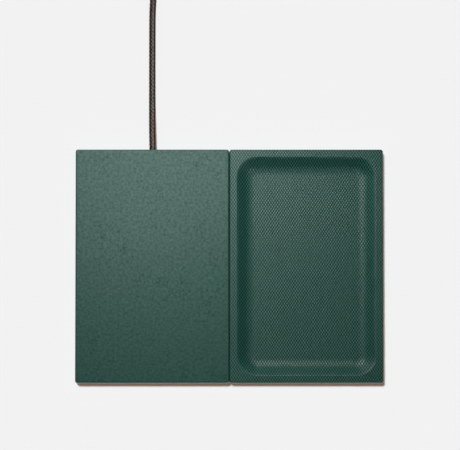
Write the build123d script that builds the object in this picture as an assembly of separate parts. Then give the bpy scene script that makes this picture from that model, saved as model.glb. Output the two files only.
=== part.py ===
from build123d import *
from math import cos, pi, radians, sin, sqrt, tan
import os

os.makedirs("parts", exist_ok=True)

# The two modules stand side by side. X runs across them, Y to the back, where the cord leaves.
module_width = 108.5
module_depth = 165.1
module_height = 14.0
module_gap = 0.4
corner_round = 1.6
edge_round = 1.0

# Leather, its turned-in hem, and the pad and floor inside the hem
leather = 1.2
hem_width = 6.0
inner_corner = 0.4
pad_proud = 0.5
pad_clearance = 0.3
floor_thickness = 1.5

# Recess of the tray: a flat rim, a small lip, a straight sloping wall, a rounded foot and a flat floor
rim_width = 5.3
pocket_depth = 8.0
cove_span = 12.4
wall_slope = 44.0
floor_corner = 1.6
lip_round = 1.0
foot_steps = 6
lip_steps = 3

# Charger shell
plate_thickness = 1.6
wall = 2.0
post_diameter = 6.0
post_inset = 10.0

# Screws that close the two modules from below
screw_diameter = 2.2
screw_head_diameter = 4.4
screw_head_height = 1.2
screw_grip = 4.0
drive_size = 1.3
drive_depth = 0.7

# Small screws inside the charger
small_screw_diameter = 1.6
small_head_diameter = 3.0
small_head_height = 1.0
small_screw_grip = 2.2

# Running and seating clearances
fit_clearance = 0.05
seat_clearance = 0.1
overrun = 1.0

# Magnets at the seam
magnet_length = 20.0
magnet_thickness = 3.0
magnet_height = 5.0
magnet_spacing = 104.0
magnet_web = 0.8
cradle_rib = 1.2
cradle_height = 4.0

# Charging coil, its shield and its well under the top plate
litz_diameter = 1.0
litz_pitch = 1.6
litz_outer_radius = 22.0
litz_half_turns = 15
glue_line = 0.1
shield_size = 52.0
shield_thickness = 1.0
well_clearance = 0.2
well_rib = 1.5
lead_diameter = 1.0
lead_drop = 1.2
lead_slot_width = 3.0

# Circuit board
board_width = 56.0
board_depth = 25.0
board_thickness = 1.2
board_height = 2.3
board_gap = 3.3
board_back_gap = 4.55
boss_diameter = 4.4
boss_inset = 3.0
lead_reach = 5.0
chip_size = 7.0
chip_height = 1.1
choke_size = 6.5
choke_height = 2.8
capacitor_diameter = 5.0
capacitor_height = 3.4
jack_width = 9.0
jack_depth = 4.0
jack_height = 2.4
chip_place_shares = [(-0.08, 0.05), (0.24, -0.12)]
choke_place_shares = [(-0.31, 0.22), (0.1, 0.08)]
capacitor_place_shares = [(-0.24, -0.26), (-0.13, -0.28), (0.36, 0.18)]

# Cord: braided, 1.5 m long
cord_diameter = 4.5
cord_inner_length = 22.0
grommet_wall = 1.0
grommet_flange = 0.6
grommet_flange_thickness = 1.5
clamp_gap = 2.0
clamp_depth = 5.0
clamp_reach = 6.0
clamp_ear = 1.5
clamp_arch = 1.2
clamp_boss_diameter = 4.4
wire_diameter = 1.3
wire_spread = 1.1
wire_splay = 4.0
wire_reach = 3.4

# The put-away coil of the cord, two layers deep, and the strap that ties it
coil_outer_radius = 36.0
coil_gap = 0.45
coil_layer_turns = 7
tie_width = 10.0
tie_thickness = 0.8
tie_clearance = 0.3
tie_inner_clearance = 1.2
tie_corner = 2.6
tie_tab_length = 16.0

# Plug
neck_length = 7.0
neck_diameter = 6.0
neck_wide_diameter = 7.4
plug_width = 15.5
plug_height = 8.0
plug_length = 19.0
plug_corner = 2.2
plug_edge = 0.8
shell_width = 12.0
shell_height = 4.5
shell_length = 12.0
shell_wall = 0.3
shell_corner = 0.6
shell_window = 2.2
shell_window_spacing = 5.0
tongue_width = 11.0
tongue_thickness = 1.8
tongue_length = 10.5
contact_width = 1.0
contact_thickness = 0.15
contact_length = 7.0
contact_pitch = 2.3
contact_count = 4

# Shares and counts of the tubes
arc_share = 0.45
gap_steps = 24

# Heights that follow from the sizes above
floor_bottom = pad_proud + leather
floor_top = floor_bottom + floor_thickness
plate_top = module_height - leather
plate_bottom = plate_top - plate_thickness
board_bottom = floor_top + board_height
board_top = board_bottom + board_thickness
litz_height = plate_bottom - glue_line - litz_diameter / 2
shield_top = litz_height - litz_diameter / 2 - glue_line
shield_bottom = shield_top - shield_thickness
cord_height = (floor_top + plate_bottom) / 2
cord_radius = cord_diameter / 2
coil_bottom = tie_thickness + seat_clearance + cord_radius
coil_top = coil_bottom + cord_diameter + coil_gap

# Places that follow from the sizes above, from the middle of a module
charger_x = -(module_width + module_gap) / 2
tray_x = (module_width + module_gap) / 2
opening_width = module_width - 2 * rim_width
opening_depth = module_depth - 2 * rim_width
pocket_corner = cove_span + floor_corner
slope = radians(wall_slope)
half_slope = tan(slope / 2)
foot_span = (cove_span * tan(slope) - pocket_depth) / (tan(slope) - half_slope)
foot_radius = foot_span / sin(slope)
tray_screw_inset = rim_width + pocket_corner * (1 - sqrt(2) / 2)
grommet_radius = cord_radius + grommet_wall
rear_face = module_depth / 2
rear_inside = rear_face - leather - wall
clamp_y = rear_inside - grommet_flange_thickness - clamp_gap - clamp_depth / 2
cord_inner_y = rear_face - cord_inner_length
well_outside = shield_size / 2 + well_clearance + well_rib
board_back = cord_inner_y - board_back_gap
board_y = board_back - board_depth / 2
coil_y = board_back - board_depth - board_gap - well_outside

# Cord routes, chosen by hand: the lead from its exit and the tail from the coil's end.
# Each point is across and back from the route's start, and its height over the standing surface.
lead_route = [
    (0, 0, cord_height),
    (0, 13, cord_height),
    (0, 34, cord_radius),
    (0, 104, cord_radius),
    (1.6, 127, coil_bottom),
    (1.6, 148, coil_bottom),
]
tail_route = [
    (0, 0, coil_top),
    (14, 0, coil_top),
    (29, 0.9, 5.3),
    (43.5, -0.4, 2.6),
    (55, -7.5, 2.3),
    (62, -20, plug_height / 2),
    (62, -33.5, plug_height / 2),
]


def save(name, *pieces):
    """Writes one sub-part, which may be a group of separate solids."""
    solids = [solid for piece in pieces for solid in piece.solids()]
    export_step(solids[0] if len(solids) == 1 else Compound(children=solids), f"parts/{name}.step")


def block(centre, width, depth, low, high):
    """A plain upright box between two heights."""
    return Pos(*centre, (low + high) / 2) * Box(width, depth, high - low)


def column(centre, diameter, low, high):
    """An upright round bar between two heights."""
    return Pos(*centre, (low + high) / 2) * Cylinder(diameter / 2, high - low)


def rod_along_y(centre_x, height, diameter, front, back):
    """A round bar along Y."""
    bar = Rotation(90, 0, 0) * Cylinder(diameter / 2, back - front)
    return Pos(centre_x, (front + back) / 2, height) * bar


def module_slab(inset, corner, low, high):
    """A block that follows the module's outline at an inset, between two heights."""
    outline = RectangleRounded(module_width - 2 * inset, module_depth - 2 * inset, corner)
    return Pos(0, 0, low) * extrude(outline, high - low)


def four_places(inset):
    """The four corner places at an inset from the module's sides."""
    across, along = module_width / 2 - inset, module_depth / 2 - inset
    return [(sx * across, sy * along) for sx in (-1, 1) for sy in (-1, 1)]


def outer_block():
    """The outside of a leather cover, with its top edge rounded."""
    slab = module_slab(0, corner_round, pad_proud, module_height)
    return fillet(slab.faces().sort_by(Axis.Z)[-1].edges(), edge_round)


def inner_slab(low, high):
    """What lies inside the leather between two heights."""
    return module_slab(leather, inner_corner, low, high)


def hem_opening():
    """The hole that the turned-in hem leaves for the base pad."""
    return module_slab(hem_width, corner_round, pad_proud - overrun, floor_bottom)


def base_pad():
    """Non-slip pad that stands a little proud of the hem."""
    return module_slab(hem_width + pad_clearance, corner_round, 0, floor_bottom)


def countersunk_screw(place):
    """A screw driven upwards, its head flush with the floor's underside."""
    x, y = place
    neck = floor_bottom + screw_head_height
    head = Pos(x, y, floor_bottom + screw_head_height / 2) * Cone(
        screw_head_diameter / 2, screw_diameter / 2, screw_head_height
    )
    shank = column(place, screw_diameter, neck - fit_clearance, floor_top + screw_grip)
    drive = extrude(Pos(x, y, floor_bottom) * RegularPolygon(drive_size, 6), drive_depth)
    return head + shank - drive


def countersunk_hole(place):
    """The hole of a countersunk screw, clear of it all round."""
    x, y = place
    height = screw_head_height + fit_clearance
    cone = Pos(x, y, floor_bottom + height / 2) * Cone(
        screw_head_diameter / 2 + fit_clearance, screw_diameter / 2 + fit_clearance, height
    )
    bore = screw_diameter + 2 * fit_clearance
    return cone + column(place, bore, floor_bottom, floor_top + screw_grip + seat_clearance)


def small_screw(place, seat):
    """A pan-head screw driven down onto a seat."""
    head = column(place, small_head_diameter, seat, seat + small_head_height)
    edge = head.faces().sort_by(Axis.Z)[-1].edges()
    head = fillet(edge, small_head_height / 2)
    shank = column(place, small_screw_diameter, seat - small_screw_grip, seat)
    x, y = place
    low = seat + small_head_height - drive_depth
    drive = extrude(Pos(x, y, low) * RegularPolygon(drive_size / 2, 6), drive_depth)
    return head + shank - drive


def small_bore(place, seat):
    """The hole of a small screw below its seat."""
    bore = small_screw_diameter + 2 * fit_clearance
    return column(place, bore, seat - small_screw_grip - seat_clearance, seat)


def foot_profile(growth):
    """Inset and depth round the foot of the recess's wall, moved into the wall by a growth."""
    radius = foot_radius + growth
    middle = pocket_depth - foot_radius
    angles = [slope * (1 - step / foot_steps) for step in range(foot_steps + 1)]
    return [(cove_span - radius * sin(a), middle + radius * cos(a)) for a in angles]


def lip_profile():
    """Inset and depth over the small round lip at the top of the recess."""
    angles = [slope * step / lip_steps for step in range(lip_steps + 1)]
    return [(lip_round * (sin(a) - half_slope), lip_round * (1 - cos(a))) for a in angles]


def pocket(profile):
    """The recess as a solid, lofted down a profile and open above the module."""
    sections = []
    for inset, depth in [(profile[0][0], -overrun)] + profile:
        outline = RectangleRounded(
            opening_width - 2 * inset, opening_depth - 2 * inset, pocket_corner - inset
        )
        sections.append(Pos(0, 0, module_height - depth) * outline)
    return loft(sections, ruled=True)


def route_path(name, start, route):
    """Straight runs joined by arcs that are as large as the runs allow."""
    corners = [Vector(start[0] + x, start[1] + y, z) for x, y, z in route]
    radii = []
    for before, corner, after in zip(corners, corners[1:], corners[2:]):
        arrive, leave = corner - before, after - corner
        turn = radians(arrive.get_angle(leave))
        radii.append(arc_share * min(arrive.length, leave.length) / tan(turn / 2))
    print(f"{name} radii:", [round(radius, 1) for radius in radii])
    return FilletPolyline(*corners, radius=radii).wire()


def tube(name, path, diameter):
    """A round tube swept along a path, its volume set against section times length."""
    section = Plane(path @ 0, z_dir=path % 0) * Circle(diameter / 2)
    swept = sweep(section, path=path)
    share = swept.volume / (pi * diameter**2 / 4 * path.length)
    print(f"{name}: length {path.length:.1f} mm, volume share {share:.4f}")
    return swept


def winding_stations(radii, heights):
    """Where a winding crosses its own X axis, half a turn apart."""
    across, side, stations = -radii[0], 1, []
    for radius, height in zip(radii + [0], heights):
        stations.append(Vector(across, 0, height))
        across += 2 * side * radius
        side = -side
    return stations


def winding_arcs(stations, first_side):
    """Half-turn arcs from station to station. A climbing one lies on a tilted circle."""
    arcs, side = [], first_side
    for start, end in zip(stations, stations[1:]):
        middle = (start + end) / 2 + Vector(0, side * (end - start).length / 2, 0)
        arcs.append(ThreePointArc(start, middle, end))
        side = -side
    return arcs


def least_gap(edges, diameter, apart):
    """The least gap of a winding to itself, measured on points further apart along it."""
    marks, run = [], 0
    for edge in edges:
        for step in range(gap_steps):
            marks.append((run + edge.length * step / gap_steps, edge @ (step / gap_steps)))
        run += edge.length
    gaps = [
        (there - here).length - diameter
        for i, (near, here) in enumerate(marks)
        for far, there in marks[i + 1 :]
        if far - near > apart
    ]
    return min(gaps)


def at_charger(piece):
    """Moves a piece from the module's middle to the charger's place."""
    return Pos(charger_x, 0, 0) * piece


def at_coil(piece):
    """Moves a piece from the charging coil's middle to its place in the charger."""
    return Pos(charger_x, coil_y, 0) * piece


def at_tray(piece):
    """Moves a piece from the module's middle to the tray's place."""
    return Pos(tray_x, 0, 0) * piece


# Charger: leather cover, hollow, with a turned-in hem and the grommet's hole
charger_leather = outer_block() - inner_slab(floor_bottom, plate_top) - hem_opening()
charger_leather -= rod_along_y(
    0, cord_height, 2 * (grommet_radius + fit_clearance), rear_inside, rear_face + overrun
)
save("charger_leather_cover", at_charger(charger_leather))
save("charger_base_pad", at_charger(base_pad()))

# Charger: upper housing with screw posts, coil well and the cord's hole
upper = inner_slab(floor_top, plate_top)
upper -= module_slab(leather + wall, inner_corner, floor_top - overrun, plate_bottom)
for place in four_places(post_inset):
    upper += column(place, post_diameter, floor_top, plate_bottom)
well = block((0, coil_y), 2 * well_outside, 2 * well_outside, shield_bottom, plate_bottom)
well_inside = shield_size + 2 * well_clearance
upper += well - block((0, coil_y), well_inside, well_inside, shield_bottom, plate_bottom)

# Winding of the charging coil, from its outer end at the left to its inner end at the right
litz_radii = [litz_outer_radius - litz_pitch / 2 * k for k in range(litz_half_turns)]
litz_stations = winding_stations(litz_radii, [litz_height] * (litz_half_turns + 1))
outer_end, inner_end = litz_stations[0], litz_stations[-1]
straight = Vector(0, litz_diameter, 0)
litz_edges = [Line(outer_end + straight, outer_end)]
litz_edges += winding_arcs(litz_stations, -1)
litz_edges += [Line(inner_end, inner_end + straight)]
litz_turn = 2 * pi * litz_radii[-1]
print("charging coil least gap:", round(least_gap(litz_edges, litz_diameter, litz_turn / 2), 3))
charging_coil = tube("charging_coil", Wire(litz_edges), litz_diameter)
save("charging_coil", at_coil(charging_coil))

# Leads of the coil. The inner one dips under the turns, along the slot of the shield.
inner_lead_x = inner_end.X - 3 * lead_diameter
lead_rest = board_top + lead_diameter / 2 + fit_clearance
lead_low = litz_height - lead_drop
lead_fall_y = well_outside - straight.Y
lead_land_y = well_outside + board_gap + lead_reach / 2 - straight.Y
lead_shift = inner_lead_x - inner_end.X
outer_lead_route = [
    (0, 0, litz_height),
    (0, lead_fall_y, litz_height),
    (0, lead_land_y, lead_rest),
    (0, lead_land_y + lead_reach, lead_rest),
]
inner_lead_route = [
    (0, 0, litz_height),
    (0, lead_diameter, litz_height),
    (lead_shift, 3 * lead_diameter, litz_height),
    (lead_shift, 6 * lead_diameter, lead_low),
    (lead_shift, lead_fall_y, lead_low),
    (lead_shift, lead_land_y, lead_rest),
    (lead_shift, lead_land_y + lead_reach, lead_rest),
]
leads = []
for name, end, route in (
    ("outer lead", outer_end + straight, outer_lead_route),
    ("inner lead", inner_end + straight, inner_lead_route),
):
    leads.append(tube(name, route_path(name, (end.X, end.Y), route), lead_diameter))
save("coil_leads", at_coil(leads[0]), at_coil(leads[1]))

# Notches in the well for the leads, and the slot of the shield
for lead_x in (outer_end.X, inner_lead_x):
    notch_y = coil_y + well_outside - well_rib / 2
    upper -= block((lead_x, notch_y), lead_slot_width, 2 * well_rib, shield_bottom, plate_bottom)
for place in four_places(post_inset):
    upper -= countersunk_hole(place)
upper -= rod_along_y(
    0, cord_height, 2 * (grommet_radius + fit_clearance), rear_inside - overrun, rear_face
)
save("charger_upper_housing", at_charger(upper))

shield = block((0, 0), shield_size, shield_size, shield_bottom, shield_top)
slot_front = inner_end.Y + 3 * lead_diameter
slot_back = shield_size / 2 + overrun
shield -= block(
    (inner_lead_x, (slot_front + slot_back) / 2),
    lead_slot_width,
    slot_back - slot_front,
    shield_bottom,
    shield_top,
)
save("ferrite_shield", at_coil(shield))

# Charger: lower housing with bosses for the board and the clamp, a saddle and magnet cradles
board_places = [
    (sx * (board_width / 2 - boss_inset), board_y + sy * (board_depth / 2 - boss_inset))
    for sx in (-1, 1)
    for sy in (-1, 1)
]
clamp_places = [(sx * clamp_reach, clamp_y) for sx in (-1, 1)]
wall_inside = module_width / 2 - leather - wall
magnet_x = wall_inside - seat_clearance - magnet_thickness / 2
magnet_places = [(magnet_x, sy * magnet_spacing / 2) for sy in (-1, 1)]

lower = inner_slab(floor_bottom, floor_top)
for place in board_places:
    lower += column(place, boss_diameter, floor_top, board_bottom)
for place in clamp_places:
    lower += column(place, clamp_boss_diameter, floor_top, cord_height)
lower += block((0, clamp_y), cord_diameter, clamp_depth, floor_top, cord_height)
for x, y in magnet_places:
    inner_face = x - magnet_thickness / 2 - seat_clearance - cradle_rib
    outer_face = wall_inside - seat_clearance
    length = magnet_length + 2 * (seat_clearance + cradle_rib)
    middle = (inner_face + outer_face) / 2
    cradle = block((middle, y), outer_face - inner_face, length, floor_top, floor_top + cradle_height)
    slot_width = outer_face - inner_face - cradle_rib + overrun
    slot_x = inner_face + cradle_rib + slot_width / 2
    slot_length = magnet_length + 2 * seat_clearance
    lower += cradle - block((slot_x, y), slot_width, slot_length, floor_top, plate_bottom)
lower -= rod_along_y(
    0, cord_height, cord_diameter + 2 * fit_clearance, clamp_y - clamp_depth, clamp_y + clamp_depth
)
for place in four_places(post_inset):
    lower -= countersunk_hole(place)
for place in board_places:
    lower -= small_bore(place, board_top)
for place in clamp_places:
    lower -= small_bore(place, cord_height + clamp_ear)
save("charger_lower_housing", at_charger(lower))

magnets = [
    block(p, magnet_thickness, magnet_length, floor_top, floor_top + magnet_height)
    for p in magnet_places
]
save("charger_magnets", *[at_charger(magnet) for magnet in magnets])
save("housing_screws", *[at_charger(countersunk_screw(place)) for place in four_places(post_inset)])

# Circuit board with what stands on it
board = block((0, board_y), board_width, board_depth, board_bottom, board_top)
for place in board_places:
    board -= small_bore(place, board_top)
save("circuit_board", at_charger(board))
save("board_screws", *[at_charger(small_screw(place, board_top)) for place in board_places])


def on_board(share):
    """A place on the board from shares of its width and depth."""
    return share[0] * board_width, board_y + share[1] * board_depth


components = []
for share in chip_place_shares:
    components.append(block(on_board(share), chip_size, chip_size, board_top, board_top + chip_height))
for share in choke_place_shares:
    choke = block(on_board(share), choke_size, choke_size, board_top, board_top + choke_height)
    components.append(chamfer(choke.edges().filter_by(Axis.Z), choke_size / 8))
for share in capacitor_place_shares:
    can = column(on_board(share), capacitor_diameter, board_top, board_top + capacitor_height)
    components.append(can)
jack_place = (board_width / 4, board_y + board_depth / 2 - jack_depth / 2)
components.append(block(jack_place, jack_width, jack_depth, board_top, board_top + jack_height))
save("board_components", *[at_charger(component) for component in components])

# Cord entry: grommet, the cord's inner end, clamp with its screws, and the two supply wires
flange_radius = grommet_radius + grommet_flange
grommet = rod_along_y(0, cord_height, 2 * grommet_radius, rear_inside, rear_face)
grommet += rod_along_y(
    0, cord_height, 2 * flange_radius, rear_inside - grommet_flange_thickness, rear_inside
)
grommet -= rod_along_y(
    0, cord_height, cord_diameter + 2 * fit_clearance, rear_inside - wall - leather, rear_face + overrun
)
save("cord_grommet", at_charger(grommet))
inner_cord = rod_along_y(0, cord_height, cord_diameter, cord_inner_y, rear_face)
save("cord_inner_end", at_charger(inner_cord))

ear_length = 2 * clamp_reach + clamp_boss_diameter
clamp = block((0, clamp_y), ear_length, clamp_depth, cord_height, cord_height + clamp_ear)
front, back = clamp_y - clamp_depth / 2, clamp_y + clamp_depth / 2
arch_diameter = cord_diameter + 2 * (fit_clearance + clamp_arch)
arch = rod_along_y(0, cord_height, arch_diameter, front, back)
clamp += arch - block((0, clamp_y), arch_diameter, 2 * clamp_depth, floor_bottom, cord_height)
clamp -= rod_along_y(0, cord_height, cord_diameter + 2 * fit_clearance, front, back)
for place in clamp_places:
    clamp -= small_bore(place, cord_height + clamp_ear)
save("cord_clamp", at_charger(clamp))
clamp_screws = [small_screw(place, cord_height + clamp_ear) for place in clamp_places]
save("cord_clamp_screws", *[at_charger(screw) for screw in clamp_screws])

wire_rest = board_top + wire_diameter / 2 + fit_clearance
wires = []
for side in (-1, 1):
    wire_route = [
        (0, 0, cord_height),
        (0, -board_back_gap / 2, cord_height),
        (side * (wire_splay - wire_spread), -board_back_gap, wire_rest),
        (side * (wire_splay - wire_spread), -board_back_gap - wire_reach, wire_rest),
    ]
    start = (side * wire_spread, cord_inner_y)
    wires.append(tube("supply wire", route_path("supply wire", start, wire_route), wire_diameter))
save("supply_wires", at_charger(wires[0]), at_charger(wires[1]))

# Tray: core with the recess, its leather inside and out, bottom board, pad, magnets and screws
core_pocket = pocket([(-leather * half_slope, leather)] + foot_profile(leather))
tray_lining = outer_block() - pocket(lip_profile() + foot_profile(0))
tray_lining -= inner_slab(floor_bottom, plate_top) - core_pocket
save("tray_leather_lining", at_tray(tray_lining - hem_opening()))
save("tray_base_pad", at_tray(base_pad()))

core = inner_slab(floor_top, plate_top) - core_pocket
tray_magnet_x = -module_width / 2 + leather + magnet_web + seat_clearance + magnet_thickness / 2
tray_magnet_places = [(tray_magnet_x, sy * magnet_spacing / 2) for sy in (-1, 1)]
for place in tray_magnet_places:
    core -= block(
        place,
        magnet_thickness + 2 * seat_clearance,
        magnet_length + 2 * seat_clearance,
        floor_top,
        floor_top + magnet_height + seat_clearance,
    )
bottom_board = inner_slab(floor_bottom, floor_top)
for place in four_places(tray_screw_inset):
    core -= countersunk_hole(place)
    bottom_board -= countersunk_hole(place)
save("tray_core", at_tray(core))
save("tray_bottom_board", at_tray(bottom_board))
save("tray_board_screws", *[at_tray(countersunk_screw(p)) for p in four_places(tray_screw_inset)])
tray_magnets = [
    block(p, magnet_thickness, magnet_length, floor_top, floor_top + magnet_height)
    for p in tray_magnet_places
]
save("tray_magnets", *[at_tray(magnet) for magnet in tray_magnets])

# Cord outside: the lead runs straight back to the coil
lead_path = route_path("cord_lead", (charger_x, rear_face), lead_route)
save("cord_lead", tube("cord_lead", lead_path, cord_diameter))

# Coil: spirals in on the lower layer, climbs in the half turn where it reverses, and spirals out
coil_pitch = cord_diameter + coil_gap
coil_radii = [coil_outer_radius - coil_pitch / 2 * k for k in range(coil_layer_turns + 1)]
coil_radii += coil_radii[-2::-1]
coil_heights = [coil_bottom] * (coil_layer_turns + 1) + [coil_top] * coil_layer_turns
coil_stations = winding_stations(coil_radii, coil_heights)
last = coil_stations[-1]
quarter_middle = last + Vector(coil_outer_radius * (1 - sqrt(2) / 2), coil_outer_radius * sqrt(2) / 2, 0)
quarter_end = last + Vector(coil_outer_radius, coil_outer_radius, 0)
coil_edges = [Line(coil_stations[0] - Vector(0, cord_diameter, 0), coil_stations[0])]
coil_edges += winding_arcs(coil_stations, 1)
coil_edges += [ThreePointArc(last, quarter_middle, quarter_end)]
coil_edges += [Line(quarter_end, quarter_end + Vector(cord_diameter, 0, 0))]
coil_turn = 2 * pi * coil_radii[coil_layer_turns]
print("cord coil least gap:", round(least_gap(coil_edges, cord_diameter, coil_turn / 2), 3))
lead_end = lead_path @ 1
coil_middle = (lead_end.X + coil_outer_radius, lead_end.Y + cord_diameter)
cord_coil = tube("cord_coil", Wire(coil_edges), cord_diameter)
save("cord_coil", Pos(*coil_middle, 0) * cord_coil)

# Strap tie round the coil at its right side
inner_station = min(station.X for station in coil_stations if station.X > 0)
outer_station = max(station.X for station in coil_stations)
tie_left = inner_station - cord_radius - tie_inner_clearance
tie_right = outer_station + cord_radius + tie_clearance
tie_high = coil_top + cord_radius + tie_clearance
loop_width = tie_right - tie_left
loop_height = tie_high - tie_thickness
loop_middle = ((tie_left + tie_right) / 2, 0, (tie_high + tie_thickness) / 2)
loop_plane = Plane(origin=loop_middle, x_dir=(1, 0, 0), z_dir=(0, -1, 0))
outside = RectangleRounded(
    loop_width + 2 * tie_thickness, loop_height + 2 * tie_thickness, tie_corner + tie_thickness
)
loop = loop_plane * (outside - RectangleRounded(loop_width, loop_height, tie_corner))
tie = extrude(loop, tie_width / 2, both=True)
tab_low = tie_high + tie_thickness
tab = Pos(loop_middle[0], 0, tab_low) * extrude(
    RectangleRounded(tie_tab_length, tie_width, tie_corner), tie_thickness
)
save("cord_tie", Pos(*coil_middle, 0) * (tie + tab))

# Tail from the coil to the plug
coil_end = quarter_end + Vector(cord_diameter, 0, 0) + Vector(*coil_middle, 0)
tail_path = route_path("cord_tail", (coil_end.X, coil_end.Y), tail_route)
save("cord_tail", tube("cord_tail", tail_path, cord_diameter))

# Plug, pointing to the front, lying flat
tail_end = tail_path @ 1
plug_plane = Plane(origin=tail_end, x_dir=(1, 0, 0), z_dir=(0, -1, 0))
neck = loft(
    [
        plug_plane * Circle(neck_diameter / 2),
        plug_plane * Pos(0, 0, neck_length) * Circle(neck_wide_diameter / 2),
    ]
)
body = extrude(
    plug_plane * Pos(0, 0, neck_length) * RectangleRounded(plug_width, plug_height, plug_corner),
    plug_length,
)
rim_edges = body.faces().sort_by(Axis.Y)[0].edges() + body.faces().sort_by(Axis.Y)[-1].edges()
save("plug_overmould", fillet(rim_edges, plug_edge) + neck)

shell_start = neck_length + plug_length
shell_face = RectangleRounded(shell_width, shell_height, shell_corner)
shell_hole = Rectangle(shell_width - 2 * shell_wall, shell_height - 2 * shell_wall)
shell = extrude(plug_plane * Pos(0, 0, shell_start) * (shell_face - shell_hole), shell_length)
for side in (-1, 1):
    window = Box(shell_window, 2 * shell_height, shell_window)
    place = Pos(side * shell_window_spacing / 2, 0, shell_start + shell_length / 2)
    shell -= plug_plane * place * window
save("plug_shell", shell)

tongue_middle = -shell_height / 2 + shell_wall + fit_clearance + tongue_thickness / 2
tongue_face = Pos(0, tongue_middle, shell_start) * Rectangle(tongue_width, tongue_thickness)
save("plug_tongue", extrude(plug_plane * tongue_face, tongue_length))

contacts = []
for k in range(contact_count):
    across = (k - (contact_count - 1) / 2) * contact_pitch
    height = tongue_middle + tongue_thickness / 2 + contact_thickness / 2
    strip = Pos(across, height, shell_start) * Rectangle(contact_width, contact_thickness)
    contacts.append(extrude(plug_plane * strip, contact_length))
save("plug_contacts", *contacts)

cord_length = lead_path.length + Wire(coil_edges).length + tail_path.length
print(f"cord length in all: {cord_length:.1f} mm")
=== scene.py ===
"""Leather, cord, plug, finishes and studio of the charging station organizer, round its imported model."""

import logging
import math
from collections.abc import Callable
from dataclasses import dataclass, field
from enum import Enum
from typing import Any

import bmesh
import bpy
import numpy as np
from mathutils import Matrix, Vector, noise


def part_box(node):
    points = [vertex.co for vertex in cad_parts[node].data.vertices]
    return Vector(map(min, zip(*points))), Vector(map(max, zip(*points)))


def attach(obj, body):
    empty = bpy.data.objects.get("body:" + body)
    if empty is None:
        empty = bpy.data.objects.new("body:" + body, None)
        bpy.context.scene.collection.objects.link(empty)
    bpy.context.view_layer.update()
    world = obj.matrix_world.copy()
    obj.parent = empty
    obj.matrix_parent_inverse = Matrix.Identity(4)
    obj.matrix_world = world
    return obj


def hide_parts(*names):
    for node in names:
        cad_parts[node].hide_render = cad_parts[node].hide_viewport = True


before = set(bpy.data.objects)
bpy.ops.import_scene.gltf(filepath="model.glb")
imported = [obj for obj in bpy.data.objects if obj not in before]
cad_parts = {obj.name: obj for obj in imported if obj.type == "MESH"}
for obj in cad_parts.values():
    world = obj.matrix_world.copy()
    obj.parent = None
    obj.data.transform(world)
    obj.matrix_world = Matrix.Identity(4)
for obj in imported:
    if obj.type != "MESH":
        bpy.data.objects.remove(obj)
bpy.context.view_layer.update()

MM = 0.001
FULL_TURN = 2 * math.pi
QUARTER_TURN = math.pi / 2
DOT_COLUMNS = 1.917 * MM
DOT_ROWS = 2.92 * MM
BRAID_BUNDLES = 8
BRAID_RISE = 2.8 * MM
BRAID_SWELL = 0.45
TINY = 1e-9
MAP_NAME = "wrap"
EDGE_NAME = "edge"
LOG = logging.getLogger("organizer")
Array = np.ndarray
Mesh = bpy.types.Mesh
Piece = bpy.types.Object
Socket = bpy.types.NodeSocket
Colour = tuple[float, float, float]
Point = tuple[float, float, float]
Profile = list[tuple[float, float]]
Feeds = dict[str, Any]


class Body(Enum):
    """The two modules that the slide joins."""

    CHARGER = "charger_module"
    TRAY = "tray_module"


class Width:
    """How wide the patterns of the finishes are, in metres."""

    PEBBLES = 0.9 * MM
    SMALL_PEBBLES = 0.42 * MM
    SWELLS = 3.2 * MM
    PORES = 1.7 * MM
    MOTTLE = 1.9 * MM
    NEAR_CLOUDS = 5.5 * MM
    FAR_CLOUDS = 31 * MM
    CREASES = 11 * MM
    WORN_PATCHES = 14 * MM
    WORN_FLECKS = 1.3 * MM
    DUST_SPECKS = 2.4 * MM
    DUST_PATCHES = 9 * MM
    SMUDGES = 18 * MM
    PITS = 0.35 * MM
    RIPPLES = 0.9 * MM
    FLOW_MARKS = 12 * MM
    TARNISH = 2.6 * MM
    DRAWN_LINES = 0.3 * MM
    FUZZ = 0.5 * MM


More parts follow.
